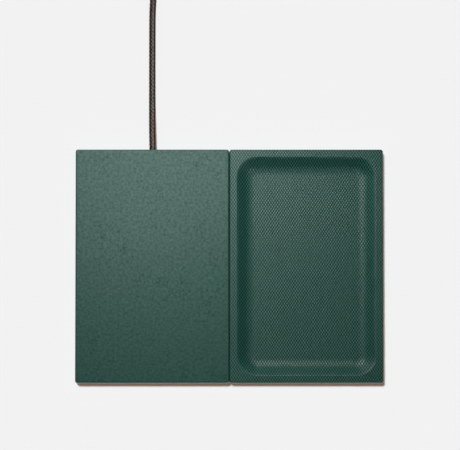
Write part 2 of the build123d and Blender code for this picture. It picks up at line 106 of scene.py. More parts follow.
class Graph:
    """Short calls that add shader nodes to one tree and join them."""

    def __init__(self, tree: bpy.types.NodeTree) -> None:
        """Keeps the tree that the nodes go into."""
        self.tree = tree

    @classmethod
    def cleared(cls, owner: bpy.types.Material | bpy.types.World) -> "Graph":
        """Starts the nodes of a material or world anew.

        Args:
            owner: The material or world.

        Returns:
            The graph of its empty tree.
        """
        owner.use_nodes = True
        owner.node_tree.nodes.clear()
        return cls(owner.node_tree)

    def feed(self, socket: Socket, value: Any) -> None:
        """Joins a socket to another one, or sets its plain value.

        Args:
            socket: The input that is fed.
            value: An output socket, a number, a vector or a colour of three parts.
        """
        if isinstance(value, Socket):
            self.tree.links.new(value, socket)
        else:
            socket.default_value = (*value, 1.0) if socket.type == "RGBA" else value

    def node(self, kind: str, feeds: dict[Any, Any] | None = None, **options: Any) -> bpy.types.Node:
        """Adds a node.

        Args:
            kind: The node's Blender type.
            feeds: What goes into its inputs, by name or number.
            options: The node's own settings.

        Returns:
            The new node.
        """
        made = self.tree.nodes.new(kind)
        for name, value in options.items():
            setattr(made, name, value)
        for name, value in (feeds or {}).items():
            self.feed(made.inputs[name], value)
        return made

    def math(self, operation: str, *values: Any) -> Socket:
        """Adds a sum, product or other operation, by Blender's name for it."""
        return self.node("ShaderNodeMath", dict(enumerate(values)), operation=operation).outputs[0]

    def mix(self, share: Any, first: Any, second: Any, mode: str = "MIX") -> Socket:
        """Lays a share, from 0 to 1, of the second colour over the first."""
        feeds = {0: share, 6: first, 7: second}
        return self.node("ShaderNodeMix", feeds, data_type="RGBA", blend_type=mode).outputs[2]

    def remap(self, value: Any, low: float, high: float, start: float = 0.0, end: float = 1.0) -> Any:
        """Carries the range from low to high over to the one from start to end, with soft ends."""
        feeds = {"Value": value, "From Min": low, "From Max": high, "To Min": start, "To Max": end}
        return self.node("ShaderNodeMapRange", feeds, interpolation_type="SMOOTHSTEP").outputs[0]

    def noise(self, place: Any, size: float, detail: float = 3.0, roughness: float = 0.55) -> Any:
        """Adds cloudy noise with patches of one size, in metres, and finer layers over them."""
        feeds = {"Vector": place, "Scale": 1 / size, "Detail": detail, "Roughness": roughness}
        return self.node("ShaderNodeTexNoise", feeds).outputs[0]

    def cells(self, place: Any, size: float, feature: str = "F1") -> Any:
        """Adds cells of one width, in metres, and gives the distance that the feature names."""
        feeds = {"Vector": place, "Scale": 1 / size}
        return self.node("ShaderNodeTexVoronoi", feeds, feature=feature).outputs["Distance"]

    def scaled(self, place: Any, by: Any) -> Socket:
        """Coordinates times a number."""
        return self.node("ShaderNodeVectorMath", {0: place, "Scale": by}, operation="SCALE").outputs[0]

    def split(self, place: Any) -> tuple[Any, ...]:
        """The three parts of a vector."""
        return tuple(self.node("ShaderNodeSeparateXYZ", {0: place}).outputs)

    def wave(self, kind: str, place: Any, half_length: Any) -> Socket:
        """A sine or cosine of half a turn for each half length."""
        turns = self.math("DIVIDE", place, half_length)
        return self.math(kind, self.math("MULTIPLY", turns, math.pi))

    def bump(self, height: Any, depth: float) -> Socket:
        """Turns heights from 0 to 1 into a normal, with a real depth in metres."""
        return self.node("ShaderNodeBump", {"Height": height, "Distance": depth}).outputs[0]


@dataclass(frozen=True)
class Effect:
    """A surface effect as a shader node group, made once and placed in each finish that shows it."""

    name: str
    draw: Callable[[Graph, Any], Feeds]
    settings: dict[str, float | Point] = field(default_factory=dict)

    def group(self) -> bpy.types.NodeTree:
        """The effect's node group, which is made the first time.

        Returns:
            The group's tree.
        """
        found = bpy.data.node_groups.get(self.name)
        if found is not None:
            return found
        tree = bpy.data.node_groups.new(self.name, "ShaderNodeTree")
        tree.interface.new_socket("Place", in_out="INPUT", socket_type="NodeSocketVector")
        for label, value in self.settings.items():
            kind = "NodeSocketFloat" if isinstance(value, float) else "NodeSocketVector"
            tree.interface.new_socket(label, in_out="INPUT", socket_type=kind).default_value = value
        graph = Graph(tree)
        drawn = self.draw(graph, graph.node("NodeGroupInput").outputs)
        for label in drawn:
            tree.interface.new_socket(label, in_out="OUTPUT", socket_type="NodeSocketFloat")
        graph.node("NodeGroupOutput", drawn)
        return tree

    def place(self, graph: Graph, place: Any, **settings: Any) -> Any:
        """Places the effect in a material, on the coordinates given, and hands over its outputs."""
        return graph.node("ShaderNodeGroup", {"Place": place, **settings}, node_tree=self.group()).outputs


def pressed_dots(graph: Graph, feeds: Any) -> Feeds:
    """Draws raised dots in staggered rows, as the product of two waves.

    Args:
        graph: The group's tree.
        feeds: The group's inputs.

    Returns:
        The height, the mask of the dots, which also places painted light on their tops, and the mask of the
        gaps between them, which places painted shade there.
    """
    across, along, _ = graph.split(feeds["Place"])
    columns = graph.wave("COSINE", across, graph.math("MULTIPLY", feeds["Columns"], 0.5))
    rows = graph.wave("COSINE", along, graph.math("MULTIPLY", feeds["Rows"], 0.5))
    height = graph.math("MULTIPLY_ADD", graph.math("MULTIPLY", columns, rows), 0.5, 0.5)
    return {"Height": height, "Dot": graph.remap(height, 0.45, 0.85), "Gap Shade": graph.remap(height, 0.55, 0.1)}


def leather_grain(graph: Graph, feeds: Any) -> Feeds:
    """Draws the pebbles, pores and creases of tanned leather, with soft clouds of dye.

    Args:
        graph: The group's tree.
        feeds: The group's inputs.

    Returns:
        The height, the clouds of dye, the uneven gloss and the mask of the pores and creases, where the
        colour is darkened as painted shade.
    """
    place = feeds["Place"]
    broad = graph.remap(graph.cells(place, Width.PEBBLES, "DISTANCE_TO_EDGE"), 0.0, 0.16)
    fine = graph.remap(graph.cells(place, Width.SMALL_PEBBLES, "DISTANCE_TO_EDGE"), 0.0, 0.2)
    pebbles = graph.math("MULTIPLY", broad, graph.math("MULTIPLY_ADD", fine, 0.5, 0.5))
    height = graph.math("MULTIPLY_ADD", pebbles, feeds["Pebbles"], graph.noise(place, Width.SWELLS, 2.0))
    near, far = graph.noise(place, Width.NEAR_CLOUDS, 4.0, 0.6), graph.noise(place, Width.FAR_CLOUDS, 3.0)
    clouds = graph.math("MULTIPLY", graph.math("ADD", near, far), 0.5)
    mottle = graph.remap(graph.noise(place, Width.MOTTLE, 4.0, 0.6), 0.24, 0.76)
    folds = graph.math("SUBTRACT", graph.noise(place, Width.CREASES, 3.0, 0.6), 0.5)
    lines = graph.remap(graph.math("ABSOLUTE", folds), 0.02, 0.0)
    creases = graph.math("MULTIPLY", lines, graph.remap(far, 0.46, 0.58))
    pores = graph.math("MAXIMUM", graph.remap(graph.cells(place, Width.PORES), 0.17, 0.05), creases)
    return {"Height": height, "Clouds": clouds, "Mottle": mottle, "Pores": pores}


def edge_wear(graph: Graph, feeds: Any) -> Feeds:
    """Breaks the mask of rubbed folds and edges up with noise of two sizes.

    Args:
        graph: The group's tree.
        feeds: The group's inputs.

    Returns:
        The mask of the wear.
    """
    broad = graph.noise(feeds["Place"], Width.WORN_PATCHES, 2.0)
    fine = graph.noise(feeds["Place"], Width.WORN_FLECKS, 3.0)
    rubbed = graph.remap(graph.math("MULTIPLY_ADD", fine, 0.6, broad), 0.55, 1.05)
    return {"Wear": graph.math("MULTIPLY", graph.math("MULTIPLY", rubbed, feeds["Edge"]), feeds["Amount"])}


def handling(graph: Graph, feeds: Any) -> Feeds:
    """Draws broad smudges and a little dust.

    Args:
        graph: The group's tree.
        feeds: The group's inputs.

    Returns:
        The smudges and the mask of the dust.
    """
    place = graph.scaled(feeds["Place"], feeds["Size"])
    specks = graph.remap(graph.cells(place, Width.DUST_SPECKS), 0.1, 0.03)
    patches = graph.remap(graph.noise(place, Width.DUST_PATCHES, 2.0), 0.52, 0.7)
    smudge = graph.noise(place, Width.SMUDGES, 4.0, 0.62)
    return {"Smudge": smudge, "Dust": graph.math("MULTIPLY", specks, patches)}


def moulded_skin(graph: Graph, feeds: Any) -> Feeds:
    """Draws the small pits of spark-eroded plastic and rubber over faint flow marks.

    Args:
        graph: The group's tree.
        feeds: The group's inputs.

    Returns:
        The height and the uneven shade.
    """
    place = feeds["Place"]
    pits = graph.remap(graph.cells(place, Width.PITS), 0.1, 0.6)
    height = graph.math("MULTIPLY_ADD", graph.noise(place, Width.RIPPLES, 3.0), 0.5, pits)
    return {"Height": height, "Shade": graph.noise(place, Width.FLOW_MARKS, 4.0, 0.6)}


def drawn_metal(graph: Graph, feeds: Any) -> Feeds:
    """Draws the fine lines left by drawing, rolling or turning, and clouds of tarnish.

    Args:
        graph: The group's tree.
        feeds: The group's inputs.

    Returns:
        The height and the clouds of tarnish.
    """
    drawn = graph.node("ShaderNodeVectorMath", {0: feeds["Place"], 1: feeds["Stretch"]}, operation="MULTIPLY")
    tarnish = graph.noise(feeds["Place"], Width.TARNISH, 4.0, 0.65)
    return {"Height": graph.noise(drawn.outputs[0], Width.DRAWN_LINES, 3.0), "Tarnish": tarnish}


PRESSED_DOTS = Effect("pressed dots", pressed_dots, {"Columns": DOT_COLUMNS, "Rows": DOT_ROWS})
LEATHER_GRAIN = Effect("leather grain", leather_grain, {"Pebbles": 1.0})
EDGE_WEAR = Effect("edge wear", edge_wear, {"Edge": 0.0, "Amount": 0.5})
HANDLING = Effect("handling", handling, {"Size": 1.0})
MOULDED_SKIN = Effect("moulded skin", moulded_skin)
DRAWN_METAL = Effect("drawn metal", drawn_metal, {"Stretch": (1.0, 1.0, 1.0)})


@dataclass(frozen=True)
class Finish:
    """A surface finish, which becomes one procedural material."""

    name: str
    colour: Colour
    shade: Colour
    roughness: float = 0.5
    relief: float = 0.02 * MM
    gloss: float = 0.5

    def paint(self, graph: Graph) -> Feeds:
        """Draws the finish, and gives the Principled shader's inputs by name."""
        raise NotImplementedError

    def material(self) -> bpy.types.Material:
        """The finish's material, which is made the first time.

        Returns:
            The material, with one Principled shader.
        """
        label = f"{self.name}_finish"
        found = bpy.data.materials.get(label)
        if found is not None:
            return found
        made = bpy.data.materials.new(label)
        graph = Graph.cleared(made)
        feeds = {**self.paint(graph), "Specular IOR Level": self.gloss}
        shader = graph.node("ShaderNodeBsdfPrincipled", feeds)
        graph.node("ShaderNodeOutputMaterial", {"Surface": shader.outputs[0]})
        return made

    def uneven(self, graph: Graph, smudge: Any, spread: float) -> Socket:
        """The roughness, a little up or down with the smudges."""
        return graph.remap(smudge, 0.25, 0.75, self.roughness - spread, self.roughness + spread)

    @staticmethod
    def mapped(graph: Graph) -> Any:
        """The piece's own flat pattern, in metres."""
        return graph.node("ShaderNodeUVMap", uv_map=MAP_NAME).outputs[0]

    @staticmethod
    def placed(graph: Graph) -> Any:
        """The place on the piece at rest, in metres."""
        return graph.node("ShaderNodeTexCoord").outputs["Object"]


@dataclass(frozen=True)
class Leather(Finish):
    """Smooth dyed leather."""

    pebbles: float = 0.35
    shine: float = 0.85
    shine_roughness: float = 0.35
    rubbed: Colour = (0.06, 0.14, 0.12)
    wear: float = 0.5

    def paint(self, graph: Graph) -> Feeds:
        """Draws clouds of dye, and a gloss that the pores break up.

        Args:
            graph: The material's tree.

        Returns:
            The Principled shader's inputs, by name.
        """
        place = self.mapped(graph)
        grain = LEATHER_GRAIN.place(graph, place, Pebbles=self.pebbles)
        broad = graph.math("MULTIPLY", grain["Clouds"], 0.7)
        clouds = graph.math("MULTIPLY_ADD", grain["Mottle"], 0.3, broad)
        dyed = graph.mix(graph.remap(clouds, 0.3, 0.7), self.shade, self.colour)
        glossy = graph.math("MULTIPLY_ADD", grain["Pores"], -0.35, grain["Mottle"])
        height = graph.math("MULTIPLY", grain["Height"], 0.5)
        return self.used(graph, place, grain["Pores"], dyed, height, glossy)

    def used(self, graph: Graph, place: Any, pores: Any, dyed: Any, height: Any, glossy: Any) -> Feeds:
        """Adds pores, wear and handling to dyed leather, with the pores and creases darkened as painted
        shade.

        Args:
            graph: The material's tree.
            place: The flat pattern's coordinates.
            pores: The mask of the pores and creases, which are darkened as painted shade.
            dyed: The colour so far.
            height: The relief.
            glossy: Where the leather shines.

        Returns:
            The Principled shader's inputs, by name.
        """
        edge = graph.node("ShaderNodeAttribute", attribute_name=EDGE_NAME).outputs["Fac"]
        wear = EDGE_WEAR.place(graph, place, Edge=edge, Amount=self.wear)["Wear"]
        # Painted shade: the pores and creases are darkened in colour.
        shaded_pores = graph.mix(graph.math("MULTIPLY", pores, 0.35), dyed, self.shade, "MULTIPLY")
        return {
            "Base Color": graph.mix(wear, shaded_pores, self.rubbed),
            "Roughness": self.uneven(graph, HANDLING.place(graph, place)["Smudge"], 0.05),
            "Normal": graph.bump(height, self.relief),
            "Coat Weight": graph.math("MULTIPLY", glossy, self.shine),
            "Coat Roughness": self.shine_roughness,
        }


@dataclass(frozen=True)
class PressedLeather(Leather):
    """Leather pressed with staggered rows of dots."""

    pebbles: float = 0.6
    shine: float = 1.0
    shine_roughness: float = 0.28
    # Painted shade in the gaps between the dots.
    painted_gap_shade: Colour = (0.001, 0.018, 0.013)
    # Painted light on the tops of the dots.
    top: Colour = (0.026, 0.152, 0.116)

    def paint(self, graph: Graph) -> Feeds:
        """Draws dots that are glossier and painted paler, as painted light on their tops, and gaps painted
        darker than the dye, as painted shade.

        Args:
            graph: The material's tree.

        Returns:
            The Principled shader's inputs, by name.
        """
        place = self.mapped(graph)
        grain = LEATHER_GRAIN.place(graph, place, Pebbles=self.pebbles)
        dots = PRESSED_DOTS.place(graph, place)
        dyed = graph.mix(graph.remap(grain["Clouds"], 0.34, 0.66), self.shade, self.colour)
        # Painted light on the dots' tops and painted shade in the gaps between them.
        raised = graph.mix(dots["Dot"], graph.mix(dots["Gap Shade"], dyed, self.painted_gap_shade), self.top)
        height = graph.math("MULTIPLY_ADD", grain["Height"], 0.12, dots["Height"])
        return self.used(graph, place, grain["Pores"], raised, height, dots["Dot"])


@dataclass(frozen=True)
class BraidedSleeve(Finish):
    """Braided yarn round a cord, each bundle over two and under two."""

    fleck: Colour = (0.34, 0.28, 0.25)

    def paint(self, graph: Graph) -> Feeds:
        """Draws two families of bundles, which of them lies on top, and lighter yarns here and there, with
        painted shade darkening the colour in the grooves between bundles and where they pass under each
        other.

        Args:
            graph: The material's tree.

        Returns:
            The Principled shader's inputs, by name.
        """
        around, along, _ = graph.split(self.mapped(graph))
        wound, climb = graph.math("MULTIPLY", around, BRAID_BUNDLES), graph.math("DIVIDE", along, BRAID_RISE)
        first, second = graph.math("ADD", wound, climb), graph.math("SUBTRACT", wound, climb)
        number = graph.math("ADD", graph.math("FLOOR", first), graph.math("FLOOR", second))
        step = graph.math("FLOORED_MODULO", number, 4.0)
        below = graph.math("GREATER_THAN", step, 1.5)
        shares = graph.math("FRACT", first), graph.math("FRACT", second)
        across, run = self.chosen(graph, below, *shares), self.chosen(graph, below, *shares[::-1])
        start = graph.math("MULTIPLY_ADD", below, -2.0, step)
        afloat = graph.math("MULTIPLY", graph.math("ADD", start, run), 0.5)
        ridge, crown = graph.wave("SINE", across, 1.0), graph.wave("SINE", afloat, 1.0)
        swell = graph.math("MULTIPLY_ADD", crown, BRAID_SWELL, 1 - BRAID_SWELL)
        height = graph.math("MULTIPLY", ridge, swell)
        strands = graph.math("MULTIPLY_ADD", afloat, 0.9, graph.math("MULTIPLY", across, 4.0))
        yarn = graph.math("PINGPONG", strands, 0.5)
        spread = graph.node("ShaderNodeTexWhiteNoise", {"W": number}, noise_dimensions="1D").outputs[0]
        flecks = graph.remap(graph.math("MULTIPLY_ADD", yarn, 0.6, spread), 0.93, 1.07)
        # Painted shade: the colour darkens where the relief is low, in the grooves between bundles.
        painted_groove_shade = graph.mix(graph.remap(height, 0.15, 0.8), self.shade, self.colour)
        return {
            "Base Color": graph.mix(flecks, painted_groove_shade, self.fleck),
            "Roughness": graph.remap(yarn, 0.0, 0.5, self.roughness + 0.1, self.roughness),
            "Normal": graph.bump(graph.math("MULTIPLY_ADD", yarn, 0.35, height), self.relief),
        }

    @staticmethod
    def chosen(graph: Graph, other: Any, first: Any, second: Any) -> Socket:
        """The first value where the mask is 0, and the second where it is 1."""
        return graph.math("MULTIPLY_ADD", graph.math("SUBTRACT", second, first), other, first)


@dataclass(frozen=True)
class WovenTape(Finish):
    """Woven hook-and-loop tape."""

    pitch: float = 0.7 * MM

    def paint(self, graph: Graph) -> Feeds:
        """Draws threads that cross each other in turn.

        Args:
            graph: The material's tree.

        Returns:
            The Principled shader's inputs, by name.
        """
        place = self.mapped(graph)
        warp, weft = (graph.wave("SINE", part, self.pitch) for part in graph.split(place)[:2])
        height = graph.math("ABSOLUTE", graph.math("MULTIPLY", warp, weft))
        return {
            "Base Color": graph.mix(graph.noise(place, Width.FUZZ, 2.0), self.shade, self.colour),
            "Roughness": graph.remap(height, 0.0, 1.0, self.roughness + 0.08, self.roughness),
            "Normal": graph.bump(height, self.relief),
            "Sheen Weight": 0.3,
        }


@dataclass(frozen=True)
class Moulding(Finish):
    """Moulded plastic or rubber."""

    coat: float = 0.0
    dust: Colour = (0.3, 0.29, 0.27)

    def paint(self, graph: Graph) -> Feeds:
        """Draws a moulded skin with a little dust.

        Args:
            graph: The material's tree.

        Returns:
            The Principled shader's inputs, by name.
        """
        place = self.placed(graph)
        skin, touched = MOULDED_SKIN.place(graph, place), HANDLING.place(graph, place, Size=1.5)
        colour = graph.mix(graph.remap(skin["Shade"], 0.3, 0.7), self.shade, self.colour)
        return {
            "Base Color": graph.mix(graph.math("MULTIPLY", touched["Dust"], 0.25), colour, self.dust),
            "Roughness": self.uneven(graph, touched["Smudge"], 0.06),
            "Normal": graph.bump(skin["Height"], self.relief),
            "Coat Weight": self.coat,
        }


@dataclass(frozen=True)
class DottedRubber(Moulding):
    """Silicone with a grid of small grip dots."""

    pitch: float = 2.4 * MM

    def paint(self, graph: Graph) -> Feeds:
        """Draws grip dots over the rubber's skin, painted lighter than the rubber round them as painted light
        on their tops.

        Args:
            graph: The material's tree.

        Returns:
            The Principled shader's inputs, by name.
        """
        feeds, place = super().paint(graph), self.placed(graph)
        dots = PRESSED_DOTS.place(graph, place, Columns=self.pitch, Rows=self.pitch)["Dot"]
        height = graph.math("MULTIPLY_ADD", MOULDED_SKIN.place(graph, place)["Height"], 0.1, dots)
        # Painted light: the grip dots are painted lighter than the rubber round them.
        lifted = graph.mix(graph.math("MULTIPLY", dots, 0.5), feeds["Base Color"], self.colour)
        return {**feeds, "Base Color": lifted, "Normal": graph.bump(height, self.relief)}


@dataclass(frozen=True)
class Metal(Finish):
    """Bare, plated or lacquered metal, with its lines across the directions that are stretched most."""

    stretch: Point = (1.0, 1.0, 10.0)

    def paint(self, graph: Graph) -> Feeds:
        """Draws metal with fine lines and faint tarnish.

        Args:
            graph: The material's tree.

        Returns:
            The Principled shader's inputs, by name.
        """
        skin = DRAWN_METAL.place(graph, self.placed(graph), Stretch=self.stretch)
        dull, bright = self.roughness + 0.12, self.roughness - 0.05
        return {
            "Base Color": graph.mix(graph.remap(skin["Tarnish"], 0.42, 0.75), self.colour, self.shade),
            "Metallic": 1.0,
            "Roughness": graph.remap(skin["Tarnish"], 0.3, 0.8, bright, dull),
            "Normal": graph.bump(skin["Height"], self.relief),
        }


@dataclass(frozen=True)
class Laminate(Finish):
    """Circuit board: solder resist over copper tracks, with bare pads."""

    track: Colour = (0.02, 0.2, 0.08)
    pad: Colour = (0.72, 0.6, 0.35)
    pitch: float = 1.9 * MM

    def paint(self, graph: Graph) -> Feeds:
        """Draws tracks as the edges of square cells, with pads at some of their middles.

        Args:
            graph: The material's tree.

        Returns:
            The Principled shader's inputs, by name.
        """
        place = self.placed(graph)
        feeds = {"Vector": place, "Scale": 1 / self.pitch, "Randomness": 0.6}
        squares = graph.node("ShaderNodeTexVoronoi", feeds, distance="CHEBYCHEV").outputs
        tracks = graph.remap(squares["Distance"], 0.38, 0.44)
        chosen = graph.math("GREATER_THAN", graph.split(squares["Color"])[0], 0.7)
        pads = graph.math("MULTIPLY", graph.remap(squares["Distance"], 0.2, 0.16), chosen)
        smudge = HANDLING.place(graph, place, Size=2.0)["Smudge"]
        resist = graph.mix(smudge, graph.mix(tracks, self.colour, self.track), self.shade)
        return {
            "Base Color": graph.mix(pads, resist, self.pad),
            "Metallic": pads,
            "Roughness": graph.math("MULTIPLY_ADD", smudge, 0.15, self.roughness),
            "Normal": graph.bump(graph.math("ADD", tracks, pads), self.relief),
            "Coat Weight": 0.3,
        }


SMOOTH_LEATHER = Leather("smooth_leather", (0.0175, 0.09, 0.069), (0.0145, 0.074, 0.055), 0.42, 0.2 * MM, 0.3)
PRESSED_LEATHER = PressedLeather(
    "pressed_leather", (0.013, 0.074, 0.057), (0.011, 0.064, 0.049), 0.45, 0.14 * MM, 0.4
)
# The braid's shade colour is painted shade in the grooves between its bundles.
BRAID = BraidedSleeve("cord_braid", (0.018, 0.009, 0.006), (0.003, 0.0015, 0.001), 0.5, 0.35 * MM, 0.15)
INNER_BRAID = Moulding("inner_braid", (0.03, 0.021, 0.018), (0.008, 0.006, 0.005), 0.6, 0.05 * MM)
STRAP = WovenTape("woven_strap", (0.03, 0.03, 0.032), (0.01, 0.01, 0.01), 0.85, 0.15 * MM)
PLUG_MOULDING = Moulding("plug_moulding", (0.022, 0.022, 0.024), (0.014, 0.014, 0.015), 0.55)
PLUG_STEEL = Metal("plug_steel", (0.68, 0.68, 0.69), (0.6, 0.6, 0.6), 0.3, 0.0015 * MM, stretch=(1, 10, 1))
TONGUE = Moulding("tongue_plastic", (0.82, 0.82, 0.8), (0.7, 0.7, 0.68), 0.35, 0.005 * MM, coat=0.2)
GILT = Metal("contact_gilt", (0.83, 0.62, 0.25), (0.6, 0.42, 0.15), 0.25, 0.003 * MM, stretch=(1, 8, 1))
HOUSING = Moulding("housing_plastic", (0.02, 0.02, 0.021), (0.012, 0.012, 0.012))
CORE = Moulding("core_plastic", (0.05, 0.05, 0.05), (0.035, 0.035, 0.035), 0.55)
PAD_RUBBER = DottedRubber("pad_rubber", (0.03, 0.03, 0.03), (0.016, 0.016, 0.016), 0.7, 0.25 * MM)
GROMMET_RUBBER = Moulding("grommet_rubber", (0.03, 0.025, 0.022), (0.015, 0.012, 0.01), 0.6)
COPPER = Metal("copper_litz", (0.75, 0.34, 0.17), (0.45, 0.18, 0.08), 0.32, 0.03 * MM, stretch=(6, 6, 1))
FERRITE = Moulding("ferrite", (0.035, 0.035, 0.04), (0.02, 0.02, 0.022), 0.4, 0.01 * MM, coat=0.1)
BOARD = Laminate("board_laminate", (0.012, 0.14, 0.05), (0.01, 0.1, 0.04), 0.3)
COMPONENT = Moulding("component_black", (0.02, 0.02, 0.02), (0.012, 0.012, 0.013), 0.45, 0.01 * MM)
SCREW_STEEL = Metal("screw_steel", (0.55, 0.55, 0.56), (0.38, 0.38, 0.37), 0.3, 0.006 * MM)
NICKEL = Metal("magnet_nickel", (0.7, 0.69, 0.66), (0.55, 0.54, 0.5), 0.18, 0.004 * MM, stretch=(3, 1, 3))
INSULATION = Moulding("wire_insulation", (0.4, 0.02, 0.02), (0.25, 0.012, 0.012), 0.4, 0.005 * MM, coat=0.2)


def read(items: Any, name: str, width: int = 1, kind: type = float) -> Array:
    """Reads a property of a mesh's points, corners or faces.

    Args:
        items: The points, corners or faces.
        name: The property's name.
        width: How many numbers it has for each.
        kind: The numbers' type.

    Returns:
        The numbers, in rows where there are several for each.
    """
    flat = np.zeros(len(items) * width, kind)
    items.foreach_get(name, flat)
    return flat.reshape(-1, width) if width > 1 else flat


def corner_points(mesh: Mesh) -> Array:
    """The point number of each face corner."""
    return read(mesh.loops, "vertex_index", kind=np.int32)


def unit(rows: Array) -> Array:
    """Rows scaled to length one."""
    return rows / np.linalg.norm(rows, axis=1)[:, None]


def even_marks(half: float, step: float) -> Array:
    """Places spread evenly, about a step apart, over a straight side of twice the half."""
    return np.linspace(-half, half, 2 * max(1, round(half / step)) + 1)


def set_map(mesh: Mesh, places: Array) -> None:
    """Gives a mesh its flat pattern, two coordinates for each face corner."""
    mesh.uv_layers.new(name=MAP_NAME).uv.foreach_set("vector", places.astype(np.float32).ravel())


def stand(name: str, data: bpy.types.ID, place: Any = (0.0, 0.0, 0.0), aim: Vector | None = None) -> Any:
    """Puts an object into the scene.

    Args:
        name: Its name.
        data: Its mesh, light or lens.
        place: Where it stands.
        aim: The direction that a light or lens faces.

    Returns:
        The object.
    """
    made = bpy.data.objects.new(name, data)
    made.location = place
    if aim is not None:
        made.rotation_mode = "QUATERNION"
        made.rotation_quaternion = aim.to_track_quat("-Z", "Y")
    bpy.context.scene.collection.objects.link(made)
    return made


def dress(finish: Finish, *pieces: Piece | str) -> None:
    """Gives pieces a finish in place of what they had.

    Args:
        finish: The finish.
        pieces: New pieces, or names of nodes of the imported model.
    """
    for piece in pieces:
        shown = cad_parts[piece] if isinstance(piece, str) else piece
        if not shown.material_slots:
            shown.data.materials.append(None)
        for place in shown.material_slots:
            place.material = finish.material()


def declare(piece: Piece, finish: Finish, body: Body, slot: str, *nodes: str) -> None:
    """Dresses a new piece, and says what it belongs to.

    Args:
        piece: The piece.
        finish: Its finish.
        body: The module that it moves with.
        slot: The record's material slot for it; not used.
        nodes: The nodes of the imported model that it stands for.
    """
    dress(finish, piece)
    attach(piece, body.value)
    if nodes:
        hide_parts(*nodes)
    LOG.info("%s: %d points, %d faces", piece.name, len(piece.data.vertices), len(piece.data.polygons))


class Sheet:
    """Points and faces of one piece while it is put together."""

    def __init__(self) -> None:
        """Starts with nothing."""
        self.rows: list[Array] = []
        self.faces: list[tuple[int, ...]] = []
        self.count = 0

    def points(self, places: Array) -> Array:
        """Adds points.

        Args:
            places: Their coordinates, three in the last axis.

        Returns:
            Their numbers, in the same layout.
        """
        flat = places.reshape(-1, 3)
        numbers = np.arange(self.count, self.count + len(flat))
        self.rows.append(flat)
        self.count += len(flat)
        return numbers.reshape(places.shape[:-1])

    def quads(self, grid: Array, closed: bool = False) -> None:
        """Adds the faces between the rows of a grid of point numbers.

        Args:
            grid: Point numbers, row by row.
            closed: Whether each row goes round and meets its start.
        """
        if closed:
            grid = np.concatenate([grid, grid[:, :1]], axis=1)
        corners = [grid[:-1, :-1], grid[1:, :-1], grid[1:, 1:], grid[:-1, 1:]]
        for face in np.stack(corners, axis=-1).reshape(-1, 4).tolist():
            kept = tuple(dict.fromkeys(face))
            if len(kept) > 2:
                self.faces.append(kept)

    def tube(self, rings: Array) -> None:
        """Adds the faces of a tube of rings of point numbers, with both its ends."""
        self.quads(rings, closed=True)
        self.faces += [tuple(rings[0].tolist()), tuple(rings[-1].tolist())]

    def build(self, name: str, closed: bool = False) -> Piece:
        """Makes the piece's object.

        Args:
            name: The piece's name.
            closed: Whether the shape is closed, so that its faces can be turned outwards.

        Returns:
            The new object, smooth shaded and in the scene.
        """
        mesh = bpy.data.meshes.new(name)
        mesh.from_pydata(np.concatenate(self.rows).tolist(), [], self.faces)
        if closed:
            solid = bmesh.new()
            solid.from_mesh(mesh)
            bmesh.ops.recalc_face_normals(solid, faces=solid.faces)
            solid.to_mesh(mesh)
            solid.free()
        mesh.polygons.foreach_set("use_smooth", [True] * len(mesh.polygons))
        return stand(name, mesh)


class Fan:
    """Spokes that stand out from the sides of a flat rectangle and fan out at its corners."""

    def __init__(self, marks_x: Array, marks_y: Array, corner_steps: int) -> None:
        """Sets the spokes up, anticlockwise from the front left.

        Args:
            marks_x: Places along the front and back, from corner to corner.
            marks_y: Places along the sides.
            corner_steps: How many steps each corner's quarter turn has.
        """
        self.marks = (marks_x, marks_y)
        self.corner_steps = corner_steps
        across, along = marks_x[-1], marks_y[-1]
        corners = [(across, -along), (across, along), (-across, along), (-across, -along)]
        arc = np.arange(1, corner_steps) * QUARTER_TURN / corner_steps
        starts, turns = [], []
        for side, (marks, corner) in enumerate(zip((marks_x, marks_y, -marks_x, -marks_y), corners)):
            straight = np.tile(corner, (len(marks), 1))
            straight[:, side % 2] = marks
            starts += [straight, np.tile(corner, (len(arc), 1))]
            facing = QUARTER_TURN * (side - 1)
            turns += [np.full(len(marks), facing), facing + arc]
        angles = np.concatenate(turns)
        self.starts = np.concatenate(starts)
        self.directions = np.stack([np.cos(angles), np.sin(angles)], axis=1)

    def ring(self, reach: float | Array) -> Array:
        """The points at a distance, or at one distance each, along the spokes, as rows of two."""
        return self.starts + self.directions * np.reshape(reach, (-1, 1))

    def border(self, grid: Array) -> Array:
        """The border of a grid on the same marks, with its corners repeated for the spokes there.

        Args:
            grid: Point numbers, first along X.

        Returns:
            Point numbers in the order of the spokes.
        """
        rows = []
        for side in (grid[:, 0], grid[-1, :], grid[::-1, -1], grid[0, ::-1]):
            rows += [side, np.repeat(side[-1], self.corner_steps - 1)]
        return np.concatenate(rows)


